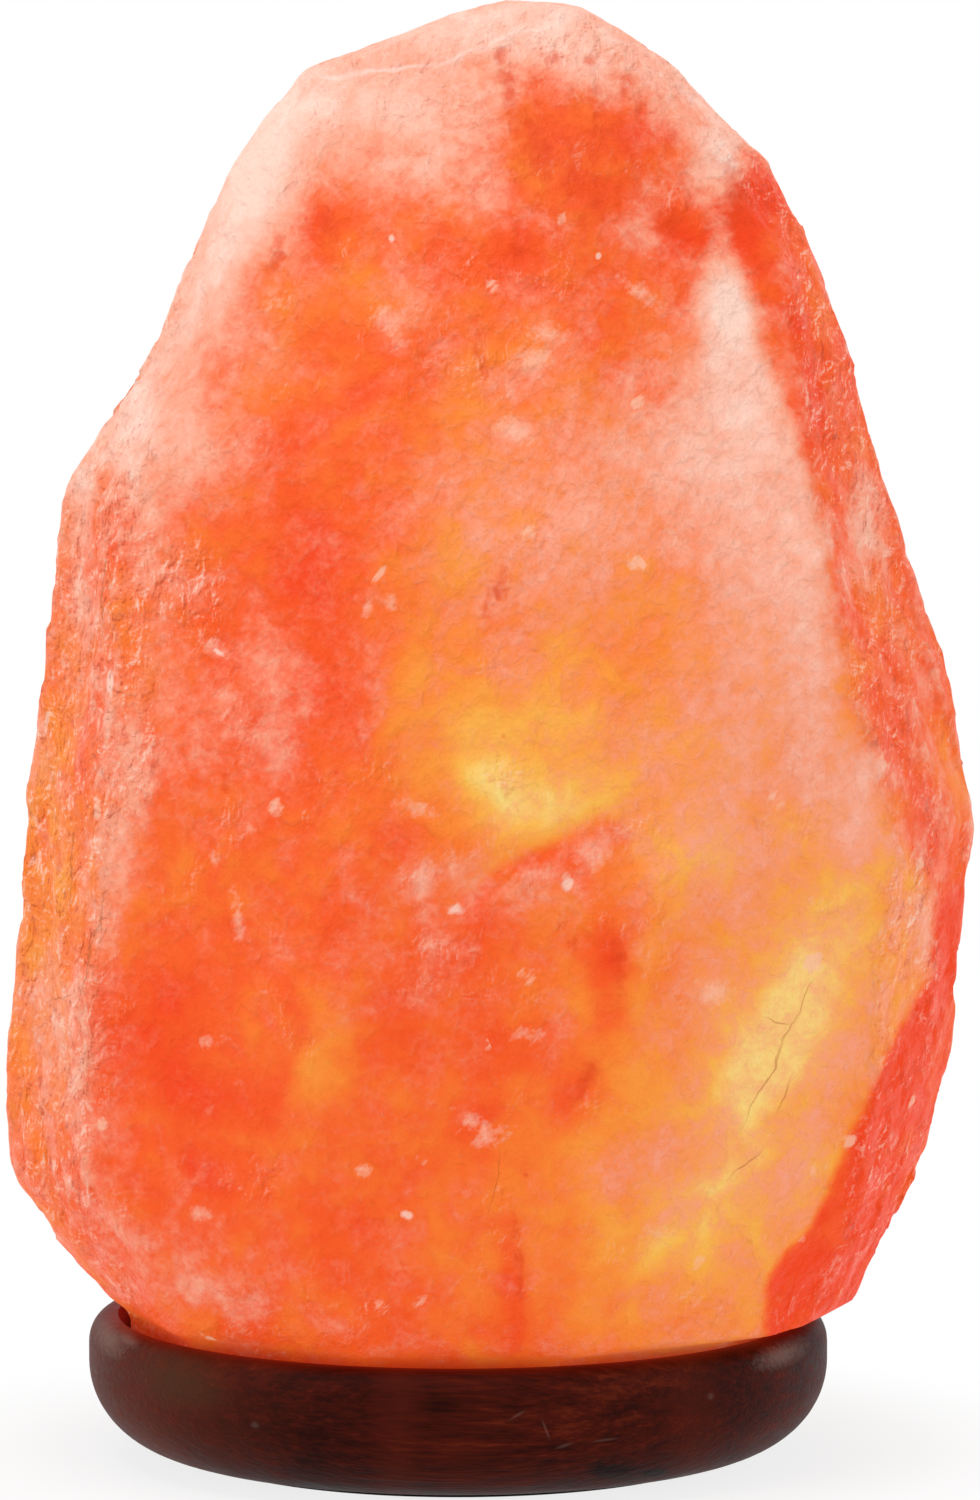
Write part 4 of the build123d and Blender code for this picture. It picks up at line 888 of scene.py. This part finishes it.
# The lamp holder's cap and sleeve, moulded from black phenolic with a soft gloss, and its insulating
# core, fired from white steatite with a matt skin and grey specks.
phenolic_dark, phenolic_light = (12, 12, 13), (40, 39, 40)
steatite_dark, steatite_light = (214, 210, 200), (244, 241, 234)


def moulded(name, dark, light, rough, speckle, relief, see_through=0.0):
    """A moulded or fired piece: two shades, a span of roughness, fine speckle and an uneven skin."""
    finish, tree, shader, place = new_finish(name)
    flow = grain(tree, place, 120, 3, 0.5, warp=1.2)
    dots = grain(tree, place, speckle, 4, 0.7)
    tone = sum_of(tree, (flow, 0.9, 0.0), (dots, 0.6, 0.4))
    colour = shades(tree, tone, (0.25, *dark), (0.8, *light))
    roughness = spread(tree, dots, 0.3, 0.7, *rough)
    feed(tree, shader, {
        "Base Color": colour, "Roughness": roughness, "Normal": bumps(tree, dots, relief, 0.6),
        "Subsurface Weight": see_through, "Subsurface Radius": (0.002, 0.002, 0.002)})
    return finish


phenolic = moulded("black_phenolic", phenolic_dark, phenolic_light, (0.22, 0.40), 1800, 0.00005)
steatite = moulded("white_steatite", steatite_dark, steatite_light, (0.42, 0.62), 1500, 0.00012)
finish_nodes(phenolic, "holder_cap", "holder_shell")
finish_nodes(steatite, "holder_core")


# The plugs that the base screws bite in, of natural nylon, milky and waxy, and the button of black
# glass that closes the bulb's cap.
nylon_dark, nylon_light = (206, 204, 194), (238, 236, 228)
button_dark, button_light = (6, 6, 8), (26, 26, 32)
nylon = moulded("natural_nylon", nylon_dark, nylon_light, (0.34, 0.50), 900, 0.00008, 0.25)
button = moulded("black_glass", button_dark, button_light, (0.06, 0.14), 1200, 0.00003)
finish_nodes(nylon, "screw_plugs")
finish_nodes(button, "cap_insulator")


# The bulb's glass and stem. Thin blown soda glass, clear, with slight waves and a trace of dust, and
# the same glass pressed into a stem that holds the wires.
glass, glass_tree, glass_shader, glass_place = new_finish("blown_glass")
glass_waves = grain(glass_tree, glass_place, 90, 2, 0.5, length=(1, 1, 2))
glass_dust = grain(glass_tree, glass_place, 1500, 4, 0.7)
glass_colour = shades(glass_tree, glass_waves, (0.3, 246, 248, 246), (0.7, 252, 252, 250))
glass_roughness = spread(glass_tree, glass_dust, 0.55, 0.80, 0.015, 0.16)
feed(glass_tree, glass_shader, {
    "Base Color": glass_colour, "Roughness": glass_roughness, "Transmission Weight": 1.0, "IOR": 1.46,
    "Normal": bumps(glass_tree, glass_waves, 0.0006, 0.4)})
finish_nodes(glass, "bulb_glass", "bulb_stem")


# The filament. Tungsten wire wound in a fine coil and hung in a loop from the leads and the thin
# supports. It glows at a warm white heat, a little unevenly from turn to turn.
glowing, glowing_tree, glowing_shader, glowing_place = new_finish("glowing_tungsten")
coil = add_node(glowing_tree, "ShaderNodeTexWave",
                {"Vector": glowing_place, "Scale": 1300.0, "Distortion": 0.6})
heat = sum_of(glowing_tree, (coil.outputs["Fac"], 0.35, 0.0),
              (grain(glowing_tree, glowing_place, 300, 2, 0.5), 1.0, 0.0))
feed(glowing_tree, glowing_shader, {
    "Emission Color": shades(glowing_tree, heat, (0.3, 255, 176, 92), (0.9, 255, 226, 170)),
    "Emission Strength": 9.0, "Base Color": seen_colour(150, 140, 130), "Metallic": 1.0, "Roughness": 0.4})
glowing.cycles.emission_sampling = "NONE"
finish_nodes(glowing, "filament")
